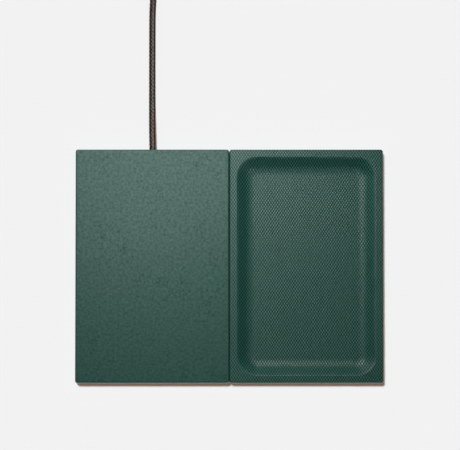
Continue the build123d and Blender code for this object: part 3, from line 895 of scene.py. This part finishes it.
@dataclass
class Block:
    """One module's outside: where it stands, and how its leather is folded."""

    node: str
    body: Body
    corner_round: float = 1.6 * MM
    edge_round: float = 1.0 * MM
    foot_round: float = 0.5 * MM
    hem_width: float = 6.0 * MM
    hem_bottom: float = 0.5 * MM
    leather: float = 1.2 * MM
    crown: float = 0.195 * MM
    rubbed_depth: float = 1.3 * MM
    corner_steps: int = 6
    edge_steps: int = 4
    foot_steps: int = 3
    hem_steps: int = 4
    steep: float = 0.7

    def __post_init__(self) -> None:
        """Takes the module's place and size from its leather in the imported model."""
        low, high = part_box(self.node)
        self.middle = (low + high) / 2
        self.top = high.z
        self.ledge = self.top - self.edge_round
        self.half = np.array([high.x - low.x, high.y - low.y]) / 2
        self.straight = self.half - self.corner_round

    def add(self, sheet: Sheet, places: Array, height: float) -> Array:
        """Adds points at one height, given by their places round the module's middle.

        Args:
            sheet: The leather so far.
            places: Two coordinates in the last axis.
            height: The height.

        Returns:
            The points' numbers, in the same layout.
        """
        heights = np.full((*places.shape[:-1], 1), height)
        return sheet.points(np.concatenate([places + np.array(self.middle.xy), heights], axis=-1))

    def side_profile(self, step: float, start: float) -> Profile:
        """The profile from the top edge down the slightly bulging side and round the foot.

        Args:
            step: The distance between its points.
            start: The angle at which it starts on the top edge's round, in radians.

        Returns:
            Pairs of an inset from the outline and a height.
        """
        count = max(2, round(self.edge_round * (QUARTER_TURN - start) / step) + 1)
        pairs = []
        for turn in np.linspace(start, QUARTER_TURN, count):
            inset = self.edge_round * (1 - math.sin(turn))
            pairs.append((inset, self.ledge + self.edge_round * math.cos(turn)))
        foot = self.hem_bottom + self.foot_round
        levels = max(2, round((self.ledge - foot) / step))
        for share in np.linspace(0.0, 1.0, levels + 1)[1:]:
            pairs.append((-self.crown * math.sin(math.pi * share), self.ledge + (foot - self.ledge) * share))
        for turn in np.linspace(0.0, QUARTER_TURN, self.foot_steps + 1)[1:]:
            pairs.append((self.foot_round * (1 - math.cos(turn)), foot - self.foot_round * math.sin(turn)))
        return pairs

    def lay(self, sheet: Sheet, fan: Fan, height: float) -> Array:
        """Lays a flat rectangle of leather inside the spokes.

        Args:
            sheet: The leather so far.
            fan: The spokes, whose marks the rectangle's points stand on.
            height: Its height.

        Returns:
            The first ring of point numbers for the spokes.
        """
        places = np.stack(np.meshgrid(*fan.marks, indexing="ij"), axis=-1)
        grid = self.add(sheet, places, height)
        sheet.quads(grid)
        return fan.border(grid)

    def fold_down(self, sheet: Sheet, rings: list[Array], fan: Fan, profile: Profile) -> None:
        """Carries the leather down the sides and in under the module, up to the base pad.

        Args:
            sheet: The leather so far.
            rings: The rings of point numbers to start from.
            fan: The spokes.
            profile: Pairs of an inset from the outline and a height.
        """
        for inset, height in profile:
            rings.append(self.add(sheet, fan.ring(self.corner_round - inset), height))
        foot = fan.ring(self.corner_round - self.foot_round)
        hem_marks = [marks * (1 - self.hem_width / marks[-1]) for marks in fan.marks]
        hem = Fan(*hem_marks, fan.corner_steps).ring(self.corner_round)
        for share in np.linspace(0.0, 1.0, self.hem_steps + 1)[1:]:
            rings.append(self.add(sheet, foot + (hem - foot) * share, self.hem_bottom))
        rings.append(self.add(sheet, hem, self.hem_bottom + self.leather))
        sheet.quads(np.stack(rings), closed=True)

    def wrap(self, mesh: Mesh) -> None:
        """Maps the leather's flat pattern: flat over the top, and folded down over each side.

        Args:
            mesh: The mesh of a piece of this module's leather.
        """
        totals = read(mesh.polygons, "loop_total", kind=np.int32)
        normals = np.repeat(read(mesh.polygon_normals, "vector", 3), totals, axis=0)
        set_map(mesh, self.unfolded(read(mesh.vertices, "co", 3)[corner_points(mesh)], normals))

    def unfolded(self, points: Array, normals: Array) -> Array:
        """Where points of the folded leather lie on its flat pattern.

        Args:
            points: Rows of three.
            normals: The surface's normals there.

        Returns:
            Rows of two.
        """
        flat = points[:, :2] - np.array(self.middle.xy)
        height, size = points[:, 2], np.abs(normals)
        lifted = np.clip((height - self.ledge) / self.edge_round, 0.0, 1.0)
        drop = self.edge_round * np.arccos(lifted) + np.clip(self.ledge - height, 0.0, None)
        folded = np.sign(flat) * (self.half - self.edge_round + drop[:, None])
        sideways = size[:, 0] >= size[:, 1]
        over = np.stack([sideways, ~sideways], axis=1) & (size[:, 2:] < self.steep)
        return np.where(over & (np.abs(flat) > self.straight), folded, flat)

    def mark_edges(self, mesh: Mesh) -> None:
        """Marks the folds near the top, where leather is rubbed.

        Args:
            mesh: The mesh of a piece of this module's leather.
        """
        level = read(mesh.vertex_normals, "vector", 3)[:, 2] ** 2
        near_top = read(mesh.vertices, "co", 3)[:, 2] > self.top - self.rubbed_depth
        marks = (4 * level * (1 - level) * near_top).astype(np.float32)
        mesh.attributes.new(EDGE_NAME, "FLOAT", "POINT").data.foreach_set("value", marks)


@dataclass
class Cord:
    """The braided power cord: straight back from the charger, put away in a coil, and on to its plug."""

    diameter: float = 4.5 * MM
    length: float = 1.5
    coil_radius: float = 36.0 * MM
    coil_gap: float = 0.45 * MM
    layer_turns: int = 7
    coil_bottom: float = 3.15 * MM
    points_per_half_turn: int = 8
    spline_steps: int = 24
    ring_step: float = 0.6 * MM
    sides: int = 36
    relief: float = 0.16 * MM
    told_every: int = 4
    lead: tuple[Point, ...] = (
        (0, 0, 7.2), (-0.4, 13, 7.2), (-0.5, 34, 2.25), (-0.5, 81, 2.25), (-0.4, 104, 2.25),
        (1.6, 127, 3.15), (1.6, 148, 3.15),
    )
    tail: tuple[Point, ...] = (
        (0, 0, 8.1), (14, 0, 8.1), (29, 0.9, 5.3), (43.5, -0.4, 2.6), (55, -7.5, 2.3),
        (62, -20, 4), (62, -33.5, 4),
    )

    def __post_init__(self) -> None:
        """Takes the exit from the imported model."""
        low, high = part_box("cord_grommet")
        self.exit = ((low.x + high.x) / 2, high.y, self.lead[0][2] * MM)

    @staticmethod
    def run_from(x: float, y: float, run: tuple[Point, ...]) -> list[Point]:
        """A run's points, given in millimetres across and back from its start, and up from the floor."""
        return [(x + across * MM, y + back * MM, up * MM) for across, back, up in run]

    def route(self) -> list[Point]:
        """The control points of the lead, of each half turn of the coil, and of the tail.

        The coil spirals in, climbs where it reverses, spirals out on top, and ends in a quarter turn.

        Returns:
            Points in the row frame.
        """
        route = self.run_from(*self.exit[:2], self.lead)
        x, y = route[-1][0], route[-1][1] + self.diameter
        pitch = self.diameter + self.coil_gap
        radii = [self.coil_radius - pitch / 2 * k for k in range(self.layer_turns + 1)]
        radii += radii[-2::-1]
        step = math.pi / self.points_per_half_turn
        reach = 1 / math.cos(step / 2)
        for number, radius in enumerate(radii):
            swing = radius * (-1) ** number
            low = self.coil_bottom + pitch * (number > self.layer_turns)
            climb = pitch * (number == self.layer_turns)
            count = self.points_per_half_turn // (2 if number == len(radii) - 1 else 1)
            for angle in step * (np.arange(count) + 0.5):
                across, share = swing * (1 - reach * math.cos(angle)), (1 - math.cos(angle)) / 2
                route.append((x + across, y + swing * reach * math.sin(angle), low + climb * share))
            x += 2 * swing
        return route + self.run_from(x - swing + self.diameter, y + swing, self.tail)

    def centreline(self) -> Array:
        """The cord's smooth line, read from one spline through its whole route.

        Returns:
            Rows of three, in order from the exit.
        """
        route = self.route()
        curve = bpy.data.curves.new("cord_route", "CURVE")
        curve.dimensions = "3D"
        curve.resolution_u = self.spline_steps
        spline = curve.splines.new("NURBS")
        spline.points.add(len(route) - 1)
        for point, place in zip(spline.points, route):
            point.co = (*place, 1.0)
        spline.order_u = 3
        spline.use_endpoint_u = True
        holder = bpy.data.objects.new("cord_route", curve)
        mesh = bpy.data.meshes.new_from_object(holder)
        line = read(mesh.vertices, "co", 3)
        bpy.data.objects.remove(holder)
        bpy.data.curves.remove(curve)
        bpy.data.meshes.remove(mesh)
        return line

    @staticmethod
    def braid_height(around: Array, along: Array) -> Array:
        """The braid's relief, each bundle over two and under two.

        Args:
            around: Shares of a turn round the cord.
            along: Distances from the exit.

        Returns:
            Heights from 0 to 1.
        """
        wound, climb = around * BRAID_BUNDLES, along / BRAID_RISE
        first, second = np.floor(wound + climb), np.floor(wound - climb)
        step = np.mod(first + second, 4)
        above = step < 1.5
        shares = wound + climb - first, wound - climb - second
        across, run = np.where(above, *shares), np.where(above, *shares[::-1])
        afloat = (np.where(above, step, step - 2) + run) / 2
        return np.sin(math.pi * across) * (1 - BRAID_SWELL + BRAID_SWELL * np.sin(math.pi * afloat))

    def build(self) -> None:
        """Makes the cord as one braided tube that follows its line."""
        line = self.centreline()
        run = np.concatenate([[0.0], np.cumsum(np.linalg.norm(np.diff(line, axis=0), axis=1))])
        along = np.linspace(0.0, run[-1], round(run[-1] / self.ring_step) + 1)
        centres = np.stack([np.interp(along, run, line[:, axis]) for axis in range(3)], axis=1)
        heading = unit(np.gradient(centres, axis=0))
        side = unit(np.cross(heading, (0.0, 0.0, 1.0)))
        upward = np.cross(side, heading)
        turn = np.arange(self.sides) / self.sides
        radius = self.diameter / 2 - self.relief * (1 - self.braid_height(turn, along[:, None]))
        angle = (turn * FULL_TURN)[:, None]
        spokes = side[:, None] * np.cos(angle) + upward[:, None] * np.sin(angle)
        sheet = Sheet()
        sheet.tube(sheet.points(centres[:, None] + spokes * radius[..., None]))
        cord = sheet.build("power_cord", closed=True)
        self.map_braid(cord.data, along)
        declare(cord, BRAID, Body.CHARGER, "cord_braid", "cord_lead", "cord_coil", "cord_tail")

    def map_braid(self, mesh: Mesh, along: Array) -> None:
        """Maps the braid round and along the cord, with its turns closed where each ring meets its start.

        Args:
            mesh: The cord's mesh.
            along: The distance of each ring from the exit.
        """
        ring, side = np.divmod(corner_points(mesh), self.sides)
        totals = read(mesh.polygons, "loop_total", kind=np.int32)
        last = np.maximum.reduceat(side, np.cumsum(totals) - totals)
        closing = np.repeat((last == self.sides - 1) & (totals == 4), totals) & (side == 0)
        set_map(mesh, np.stack([side / self.sides + closing, along[ring]], axis=1))


@dataclass
class StrapTie:
    """The woven strap that holds the coil together, with its end pressed down on top."""

    thickness: float = 0.8 * MM
    corner: float = 2.6 * MM
    corner_steps: int = 10
    upright_steps: int = 4
    loop_step: float = 0.5 * MM
    tab_reach: float = 8.0 * MM
    tab_points: int = 33
    width_points: int = 21
    edge_rise: float = 0.12 * MM
    edge_band: float = 0.8
    edge_slope: float = 0.1
    edge_flat: float = 0.97
    round_off: float = 0.93
    roundness: float = 0.75

    def build(self) -> None:
        """Makes the strap as a closed band round the coil and its pressed-down end."""
        low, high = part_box("cord_tie")
        half, middle = self.thickness / 2, (low.x + high.x) / 2
        tall = high.z - self.thickness - low.z
        radius = self.corner + half
        across, up = (high.x - low.x) / 2 - half - radius, tall / 2 - half - radius
        marks = even_marks(across, self.loop_step), even_marks(up, up / self.upright_steps)
        fan = Fan(*marks, self.corner_steps)
        loop = fan.ring(radius) + np.array([middle, low.z + tall / 2])
        tab_x = np.linspace(middle - self.tab_reach, middle + self.tab_reach, self.tab_points)
        tab = np.stack([tab_x, np.full(self.tab_points, high.z - half)], axis=1)
        sheet = Sheet()
        runs = [self.add_band(sheet, line, low.y, high.y, line is loop) for line in (loop, tab)]
        strap = sheet.build("cord_tie_strap", closed=True)
        set_map(strap.data, np.concatenate(runs)[corner_points(strap.data)])
        declare(strap, STRAP, Body.CHARGER, "tie_strap", "cord_tie")

    def add_band(self, sheet: Sheet, line: Array, front: float, back: float, closed: bool) -> Array:
        """Adds one run of strap along a line, thicker along its woven edges.

        Args:
            sheet: The sheet that it goes into.
            line: The strap's middle line, across and up.
            front: Where the strap's front edge is.
            back: Where its back edge is.
            closed: Whether the line goes round.

        Returns:
            Each point's place on the flat strap.
        """
        follow = np.roll(line, -1, axis=0) - np.roll(line, 1, axis=0) if closed else np.gradient(line, axis=0)
        outward = unit(follow)[:, ::-1] * np.array([1.0, -1.0])
        shares = np.linspace(-1.0, 1.0, self.width_points)
        out = np.abs(shares)
        edge = np.clip((out - self.edge_band) / self.edge_slope, 0.0, 1.0) * (out < self.edge_flat)
        rounded = np.clip((out - self.round_off) / (1 - self.round_off), 0.0, 1.0) ** 2 * self.roundness
        half = (self.thickness / 2 - self.edge_rise * (1 - edge)) * np.sqrt(1 - rounded)
        y = (front + back) / 2 + shares * (back - front) / 2
        offset, y = np.concatenate([half, -half[::-1]]), np.concatenate([y, y[::-1]])
        flat = line[:, None] + outward[:, None] * offset[:, None]
        depth = np.broadcast_to(y, flat.shape[:2])
        numbers = sheet.points(np.stack([flat[..., 0], depth, flat[..., 1]], axis=-1))
        if closed:
            sheet.quads(np.concatenate([numbers, numbers[:1]]), closed=True)
        else:
            sheet.tube(numbers)
        run = np.concatenate([[0.0], np.cumsum(np.linalg.norm(np.diff(line, axis=0), axis=1))])
        return np.stack([np.broadcast_to(run[:, None], depth.shape), depth], axis=-1).reshape(-1, 2)


@dataclass
class Plug:
    """The plug on the cord's far end, lying flat: ribbed neck, body with grip ribs, and metal shell."""

    neck_length: float = 7.0 * MM
    neck_radius: float = 3.0 * MM
    neck_wide_radius: float = 3.7 * MM
    corner: float = 2.2 * MM
    edge: float = 0.9 * MM
    neck_rings: int = 3
    ring_depth: float = 0.45 * MM
    grip_ribs: int = 6
    grip_pitch: float = 1.5 * MM
    grip_start: float = 4.0 * MM
    grip_depth: float = 0.3 * MM
    sides: int = 72
    step: float = 0.2 * MM
    shoulder: float = 0.01 * MM

    def section(self, down: float, length: float, half_width: float, half_height: float) -> Point:
        """The outline of the plug at a distance from where the cord enters.

        Args:
            down: The distance.
            length: The length of the whole moulding.
            half_width: Half the body's width.
            half_height: Half the body's height.

        Returns:
            Half the width, half the height and the corner radius there.
        """
        if down < self.neck_length:
            share = down / self.neck_length
            radius = self.neck_radius + (self.neck_wide_radius - self.neck_radius) * share
            radius -= self.ring_depth * (0.5 - 0.5 * math.cos(FULL_TURN * self.neck_rings * share))
            return radius, radius, radius
        into = down - self.neck_length
        near = min(into, length - down, self.edge)
        drawn = self.edge - math.sqrt(max(0.0, self.edge**2 - (self.edge - near) ** 2))
        grip = into - self.grip_start
        pressed = 0.0
        if 0 < grip < self.grip_ribs * self.grip_pitch:
            pressed = self.grip_depth * (0.5 - 0.5 * math.cos(FULL_TURN * grip / self.grip_pitch))
        return half_width - drawn, half_height - drawn - pressed, max(self.corner - drawn, self.edge / 2)

    def build(self) -> None:
        """Makes the moulded body and finishes the metal and plastic inside its mouth."""
        low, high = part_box("plug_overmould")
        middle, length = (low + high) / 2, high.y - low.y
        downs = np.linspace(0.0, length, round(length / self.step) + 1)
        downs = np.unique(np.concatenate([downs, [self.neck_length, self.neck_length + self.shoulder]]))
        turn = np.arange(self.sides) / self.sides * FULL_TURN
        cosine, sine = np.cos(turn), np.sin(turn)
        rings = []
        for down in downs:
            wide, tall, corner = self.section(float(down), length, (high.x - low.x) / 2, (high.z - low.z) / 2)
            x = (wide - corner) * np.sign(np.round(cosine, 6)) + corner * cosine
            z = (tall - corner) * np.sign(np.round(sine, 6)) + corner * sine
            rings.append(np.stack([middle.x + x, np.full(self.sides, high.y - down), middle.z + z], axis=1))
        sheet = Sheet()
        sheet.tube(sheet.points(np.stack(rings)))
        body = sheet.build("plug_body", closed=True)
        declare(body, PLUG_MOULDING, Body.CHARGER, "plug_plastic", "plug_overmould")
        dress(PLUG_STEEL, "plug_shell")
        dress(TONGUE, "plug_tongue")
        dress(GILT, "plug_contacts")


@dataclass
class ChargerModule:
    """The flat charging block: smooth leather round a sealed shell."""

    step: float = 0.9 * MM
    side_step: float = 0.7 * MM
    edge_start: float = 0.25
    unevenness: float = 0.035 * MM
    uneven_size: float = 26 * MM
    clearance: float = 0.05 * MM
    grommet_end: float = 0.1 * MM
    hole_square: float = 1.55
    rim_rings: Profile = field(default_factory=lambda: [(1.06, 0.0), (1.0, 0.12 * MM), (1.0, 1.2 * MM)])
    block: Block = field(default_factory=lambda: Block("charger_leather_cover", Body.CHARGER))

    def build(self) -> None:
        """Makes the leather cover and finishes the pieces inside and underneath it."""
        block, sheet = self.block, Sheet()
        fan = Fan(*(even_marks(half, self.step) for half in block.straight), block.corner_steps)
        profile = [(block.edge_round, block.top)] + block.side_profile(self.side_step, self.edge_start)
        block.fold_down(sheet, [block.lay(sheet, fan, block.top)], fan, profile)
        cover = sheet.build("charger_leather")
        self.punch_cord_hole(cover.data)
        block.wrap(cover.data)
        self.settle(cover.data)
        block.mark_edges(cover.data)
        declare(cover, SMOOTH_LEATHER, block.body, "smooth_leather", block.node)
        self.finish_inside()

    def punch_cord_hole(self, mesh: Mesh) -> None:
        """Opens the rear wall round the cord's grommet, and turns the hole's rim in.

        Args:
            mesh: The leather cover's mesh.
        """
        low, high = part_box("cord_grommet")
        centre = (low + high) / 2
        wall = self.block.middle.y + self.block.half[1]
        points = read(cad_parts["cord_grommet"].data.vertices, "co", 3)
        rear = points[points[:, 1] > high.y - self.grommet_end]
        radius = np.ptp(rear[:, 0]) / 2 + self.clearance
        reach = radius * self.hole_square
        solid = bmesh.new()
        solid.from_mesh(mesh)
        near = {
            vertex: max(abs(part) for part in (vertex.co - centre).xz)
            for vertex in solid.verts if abs(vertex.co.y - wall) < self.clearance
        }
        inside = [
            face for face in solid.faces
            if all(near.get(vertex, reach) < reach for vertex in face.verts)
        ]
        bmesh.ops.delete(solid, geom=inside, context="FACES")
        rim = [
            edge for edge in solid.edges
            if edge.is_boundary and all(near.get(vertex, 2 * reach) < 2 * reach for vertex in edge.verts)
        ]
        for swell, depth in self.rim_rings:
            made = bmesh.ops.extrude_edge_only(solid, edges=rim)["geom"]
            for vertex in (part for part in made if isinstance(part, bmesh.types.BMVert)):
                offset = (vertex.co - centre).xz.normalized() * radius * swell
                vertex.co = (centre.x + offset.x, wall - depth, centre.z + offset.y)
            rim = [part for part in made if isinstance(part, bmesh.types.BMEdge) and part.is_boundary]
        solid.to_mesh(mesh)
        solid.free()
        mesh.polygons.foreach_set("use_smooth", [True] * len(mesh.polygons))

    def settle(self, mesh: Mesh) -> None:
        """Lets the flat leather lie a little uneven over its shell.

        Args:
            mesh: The leather cover's mesh.
        """
        for vertex in mesh.vertices:
            if vertex.co.z > self.block.top - self.clearance:
                vertex.co.z += (noise.noise(vertex.co / self.uneven_size) - 0.5) * self.unevenness

    @staticmethod
    def finish_inside() -> None:
        """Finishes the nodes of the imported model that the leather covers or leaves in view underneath."""
        dress(HOUSING, "charger_upper_housing", "charger_lower_housing", "cord_clamp")
        dress(PAD_RUBBER, "charger_base_pad")
        dress(GROMMET_RUBBER, "cord_grommet")
        dress(COPPER, "charging_coil", "coil_leads")
        dress(FERRITE, "ferrite_shield")
        dress(BOARD, "circuit_board")
        dress(COMPONENT, "board_components")
        dress(SCREW_STEEL, "board_screws", "cord_clamp_screws", "housing_screws")
        dress(NICKEL, "charger_magnets")
        dress(INSULATION, "supply_wires")
        dress(INNER_BRAID, "cord_inner_end")


@dataclass
class TrayModule:
    """The sunken tray: leather pressed with dots over a moulded core."""

    rim_width: float = 5.3 * MM
    pocket_depth: float = 8.0 * MM
    cove_span: float = 12.4 * MM
    wall_slope: float = math.radians(44.0)
    floor_corner: float = 1.6 * MM
    lip_round: float = 1.0 * MM
    dot_height: float = 0.2 * MM
    side_dots: float = 0.35
    step: float = 0.45 * MM
    column_marks: int = 4
    row_marks: int = 6
    floor_steps: int = 4
    lip_steps: int = 4
    corner_steps: int = 46
    tuck: float = 0.25 * MM
    block: Block = field(default_factory=lambda: Block("tray_leather_lining", Body.TRAY))

    def lattice(self, straight: Array, corner_steps: int) -> Fan:
        """Spokes that start on the lattice of dots, with both ends of each straight.

        Args:
            straight: Half the rectangle's straights, across and along.
            corner_steps: How many steps each corner's quarter turn has.

        Returns:
            The spokes.
        """
        marks = []
        for half, pitch in zip(straight, (DOT_COLUMNS / self.column_marks, DOT_ROWS / self.row_marks)):
            count = math.floor(half / pitch)
            marks.append(np.concatenate([[-half], np.arange(-count, count + 1) * pitch, [half]]))
        return Fan(*marks, corner_steps)

    def recess_profile(self) -> Profile:
        """The recess's profile from its floor's rounded corners up to the flat of the rim.

        Returns:
            Pairs of the distance from the corners' centres and the depth under the rim.
        """
        slope, half = self.wall_slope, math.tan(self.wall_slope / 2)
        foot_span = (self.cove_span * math.tan(slope) - self.pocket_depth) / (math.tan(slope) - half)
        radius = foot_span / math.sin(slope)
        straight = (self.cove_span - foot_span) / math.cos(slope) - self.lip_round * half
        run = radius * slope + straight
        shares = np.linspace(0.0, 1.0, self.floor_steps + 1)[1:-1]
        pairs = [(self.floor_corner * share, self.pocket_depth) for share in shares]
        for s in np.linspace(0.0, run, round(run / self.step) + 1):
            turn, along = min(s / radius, slope), max(s - radius * slope, 0.0)
            out = self.floor_corner + radius * math.sin(turn) + along * math.cos(slope)
            pairs.append((out, self.pocket_depth - radius * (1 - math.cos(turn)) - along * math.sin(slope)))
        for turn in np.linspace(slope, 0.0, self.lip_steps + 1)[1:]:
            out = self.cove_span + self.floor_corner + self.lip_round * (half - math.sin(turn))
            pairs.append((out, self.lip_round * (1 - math.cos(turn))))
        return pairs

    def reach(self, fan: Fan) -> Array:
        """How far along each spoke the outer edge of the rim's flat is.

        Args:
            fan: The spokes of the recess.

        Returns:
            One distance for each spoke.
        """
        block = self.block
        radius = block.corner_round - block.edge_round
        size, starts = np.maximum(np.abs(fan.directions), TINY), np.abs(fan.starts)
        straight = ((block.half - block.edge_round - starts) / size).min(axis=1)
        offset = starts - block.straight
        along = (offset * size).sum(axis=1)
        rounded = np.sqrt(np.maximum(along**2 - (offset**2).sum(axis=1) + radius**2, 0.0)) - along
        past_corner = (starts + size * straight[:, None] > block.straight + TINY).all(axis=1)
        return np.where(past_corner, rounded, straight)

    def build(self) -> None:
        """Makes the leather of the recess and of the sides, and finishes the pieces under it."""
        self.build_recess()
        self.build_sides()
        dress(CORE, "tray_core", "tray_bottom_board")
        dress(PAD_RUBBER, "tray_base_pad")
        dress(SCREW_STEEL, "tray_board_screws")
        dress(NICKEL, "tray_magnets")

    def build_recess(self) -> None:
        """Makes the leather over the floor, the coved walls, the rim and the top edge."""
        block, sheet = self.block, Sheet()
        corner = self.rim_width + self.cove_span + self.floor_corner
        fan = self.lattice(block.half - corner, self.corner_steps)
        rings = [block.lay(sheet, fan, block.top - self.pocket_depth)]
        profile = self.recess_profile()
        flat_rings = [(fan.ring(distance), block.top - depth) for distance, depth in profile]
        lip, far = profile[-1][0], self.reach(fan)
        count = round((far.min() - lip) / self.step)
        flat_rings += [(fan.ring(lip + (far - lip) * k / count), block.top) for k in range(1, count + 1)]
        edge = fan.ring(far)
        outward = unit(np.sign(edge) * np.maximum(np.abs(edge) - block.straight, 0.0))
        for turn in np.linspace(0.0, QUARTER_TURN, block.edge_steps + 1)[1:]:
            ring = edge + outward * block.edge_round * math.sin(turn)
            flat_rings.append((ring, block.ledge + block.edge_round * math.cos(turn)))
        rings += [block.add(sheet, ring, height) for ring, height in flat_rings]
        sheet.quads(np.stack(rings), closed=True)
        self.finish_leather(sheet.build("tray_recess_leather"), block.node)

    def build_sides(self) -> None:
        """Makes the leather over the sides, tucked under the top edge and turned in below."""
        block, sheet = self.block, Sheet()
        fan = self.lattice(block.straight, block.corner_steps)
        profile = [(self.tuck, block.ledge + self.tuck)] + block.side_profile(self.step, QUARTER_TURN)[1:]
        block.fold_down(sheet, [], fan, profile)
        self.finish_leather(sheet.build("tray_side_leather"))

    def finish_leather(self, piece: Piece, *nodes: str) -> None:
        """Args:
            piece: The piece of leather.
            nodes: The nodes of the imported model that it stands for.
        """
        self.block.wrap(piece.data)
        self.press_dots(piece.data)
        self.block.mark_edges(piece.data)
        declare(piece, PRESSED_LEATHER, self.block.body, "embossed_leather", *nodes)

    def press_dots(self, mesh: Mesh) -> None:
        """Sinks the gaps between the dots, less deeply on the turned-down sides.

        Args:
            mesh: The leather's mesh.
        """
        points, normals = read(mesh.vertices, "co", 3), read(mesh.vertex_normals, "vector", 3)
        turns = FULL_TURN * self.block.unfolded(points, normals) / (DOT_COLUMNS, DOT_ROWS)
        waves = np.cos(turns).prod(axis=1)
        showing = np.clip((points[:, 2] - self.block.hem_bottom) / self.block.foot_round - 1, 0.0, 1.0)
        pressed = showing * (self.side_dots + (1 - self.side_dots) * np.abs(normals[:, 2]))
        moved = points + normals * ((waves - 1) * pressed * self.dot_height / 2)[:, None]
        mesh.vertices.foreach_set("co", moved.ravel())
        mesh.update()


@dataclass(frozen=True)
class PhotographView:
    """The camera, where the photograph was taken from."""

    elevation: float = math.radians(86.0)
    distance: float = 2.5
    seen_width: float = 325 * MM
    target: Point = (0.5 * MM, 28.95 * MM, 14 * MM)
    sensor: float = 36.0
    nearest: float = 0.1
    farthest: float = 20.0

    def build(self) -> None:
        """Places the camera."""
        lens = bpy.data.cameras.new("photograph_view")
        lens.sensor_width = self.sensor
        lens.lens = self.sensor * self.distance / self.seen_width
        lens.clip_start = self.nearest
        lens.clip_end = self.farthest
        back = Vector((0.0, -math.cos(self.elevation), math.sin(self.elevation)))
        place = Vector(self.target) + back * self.distance
        bpy.context.scene.camera = stand("photograph_view", lens, place, -back)


@dataclass(frozen=True)
class SoftBox:
    """A square soft box that faces the object."""

    name: str
    centre: Point
    size: float
    radiance: float

    def build(self) -> Piece:
        """Makes the light.

        Returns:
            The light, which the camera doesn't see.
        """
        light = bpy.data.lights.new(self.name, "AREA")
        light.shape = "SQUARE"
        light.size = self.size
        light.energy = self.radiance * math.pi * self.size**2
        made = stand(self.name, light, self.centre, -Vector(self.centre))
        made.visible_camera = False
        return made


@dataclass
class Studio:
    """Plain pale floor and soft light, with the object's shadow kept close to it."""

    floor_half: float = 6.0
    backdrop: float = 0.8879
    horizon: float = 0.0
    world: float = 0.05
    floor_colour: Colour = (0.785, 0.86, 0.89)
    floor_bounce: Colour = (0.45, 0.45, 0.45)
    floor_key: float = 0.88
    shadow_slope: Point = (0.12, -0.17, -1.0)
    shadow_softness: float = math.radians(7.0)
    boxes: tuple[SoftBox, ...] = (
        SoftBox("top_box", (-0.04, 0.12, 0.2), 0.21, 2.75),
        SoftBox("low_box", (-0.05, 0.0, 0.2), 0.21, 0.3),
        SoftBox("back_box", (-0.35, 0.6, 0.45), 0.32, 6.2),
        SoftBox("front_box", (0.85, -0.8, 0.95), 0.55, 4.6),
    )

    def build(self) -> None:
        """Makes the world, the floor and the lights."""
        self.build_world()
        floor = self.build_floor()
        lit_by = {"INCLUDE": [self.build_floor_light()], "EXCLUDE": [box.build() for box in self.boxes]}
        for state, lights in lit_by.items():
            listed = bpy.data.collections.new(f"floor_{state.lower()}d")
            listed.objects.link(floor)
            listed.collection_objects[0].light_linking.link_state = state
            for light in lights:
                light.light_linking.receiver_collection = listed

    def build_world(self) -> None:
        """Lights evenly all round, and shows the camera, and gloss below the horizon, a pale backdrop."""
        world = bpy.data.worlds.new("studio")
        graph = Graph.cleared(world)
        height = graph.split(graph.node("ShaderNodeTexCoord").outputs["Generated"])[2]
        seen = self.seen_directly(graph, graph.math("LESS_THAN", height, self.horizon))
        even, pale = (
            graph.node("ShaderNodeBackground", {"Color": (1.0, 1.0, 1.0), "Strength": strength}).outputs[0]
            for strength in (self.world, self.backdrop)
        )
        mixed = graph.node("ShaderNodeMixShader", {0: seen, 1: even, 2: pale})
        graph.node("ShaderNodeOutputWorld", {"Surface": mixed.outputs[0]})
        bpy.context.scene.world = world
        bpy.context.scene.view_settings.view_transform = "Standard"

    @staticmethod
    def seen_directly(graph: Graph, mirrored: Any = 1.0) -> Any:
        """Whether the backdrop is seen by the camera, in gloss or through glass.

        Args:
            graph: The backdrop's tree.
            mirrored: Where the backdrop also shows in gloss and through glass.

        Returns:
            The mask's socket.
        """
        path = graph.node("ShaderNodeLightPath").outputs
        bent = graph.math("MAXIMUM", path["Is Glossy Ray"], path["Is Transmission Ray"])
        return graph.math("MAXIMUM", path["Is Camera Ray"], graph.math("MULTIPLY", bent, mirrored))

    def build_floor(self) -> Piece:
        """Makes the floor, which shows the backdrop's colour but for the object's shadow.

        Returns:
            The floor.
        """
        sheet = Sheet()
        ends = (-self.floor_half, self.floor_half)
        sheet.quads(sheet.points(np.array([[(x, y, 0.0) for y in ends] for x in ends])))
        floor = sheet.build("studio_floor")
        made = bpy.data.materials.new("studio_floor")
        graph = Graph.cleared(made)
        light = self.world + self.floor_key
        lifted = tuple(max(self.backdrop - part * light, 0.0) for part in self.floor_colour)
        matte = graph.node("ShaderNodeBsdfDiffuse", {"Color": self.floor_colour}).outputs[0]
        bounce = graph.node("ShaderNodeBsdfDiffuse", {"Color": self.floor_bounce}).outputs[0]
        glow = graph.node("ShaderNodeEmission", {"Color": lifted, "Strength": 1.0}).outputs[0]
        both = graph.node("ShaderNodeAddShader", {0: matte, 1: glow}).outputs[0]
        mixed = graph.node("ShaderNodeMixShader", {0: self.seen_directly(graph), 1: bounce, 2: both})
        graph.node("ShaderNodeOutputMaterial", {"Surface": mixed.outputs[0]})
        floor.data.materials.append(made)
        return floor

    def build_floor_light(self) -> Piece:
        """Makes the parallel light that falls on the floor alone and throws the narrow shadow.

        Returns:
            The light.
        """
        light = bpy.data.lights.new("floor_light", "SUN")
        aim = Vector(self.shadow_slope).normalized()
        light.energy = self.floor_key * math.pi / -aim.z
        light.angle = self.shadow_softness
        return stand("floor_light", light, aim=aim)


def main() -> None:
    """Builds the camera, the cord and what is on it, the two modules and the studio."""
    logging.basicConfig(level=logging.INFO, format="%(message)s")
    for part in (PhotographView, StrapTie, Plug, Cord, ChargerModule, TrayModule, Studio):
        part().build()


if __name__ == "__main__":
    main()
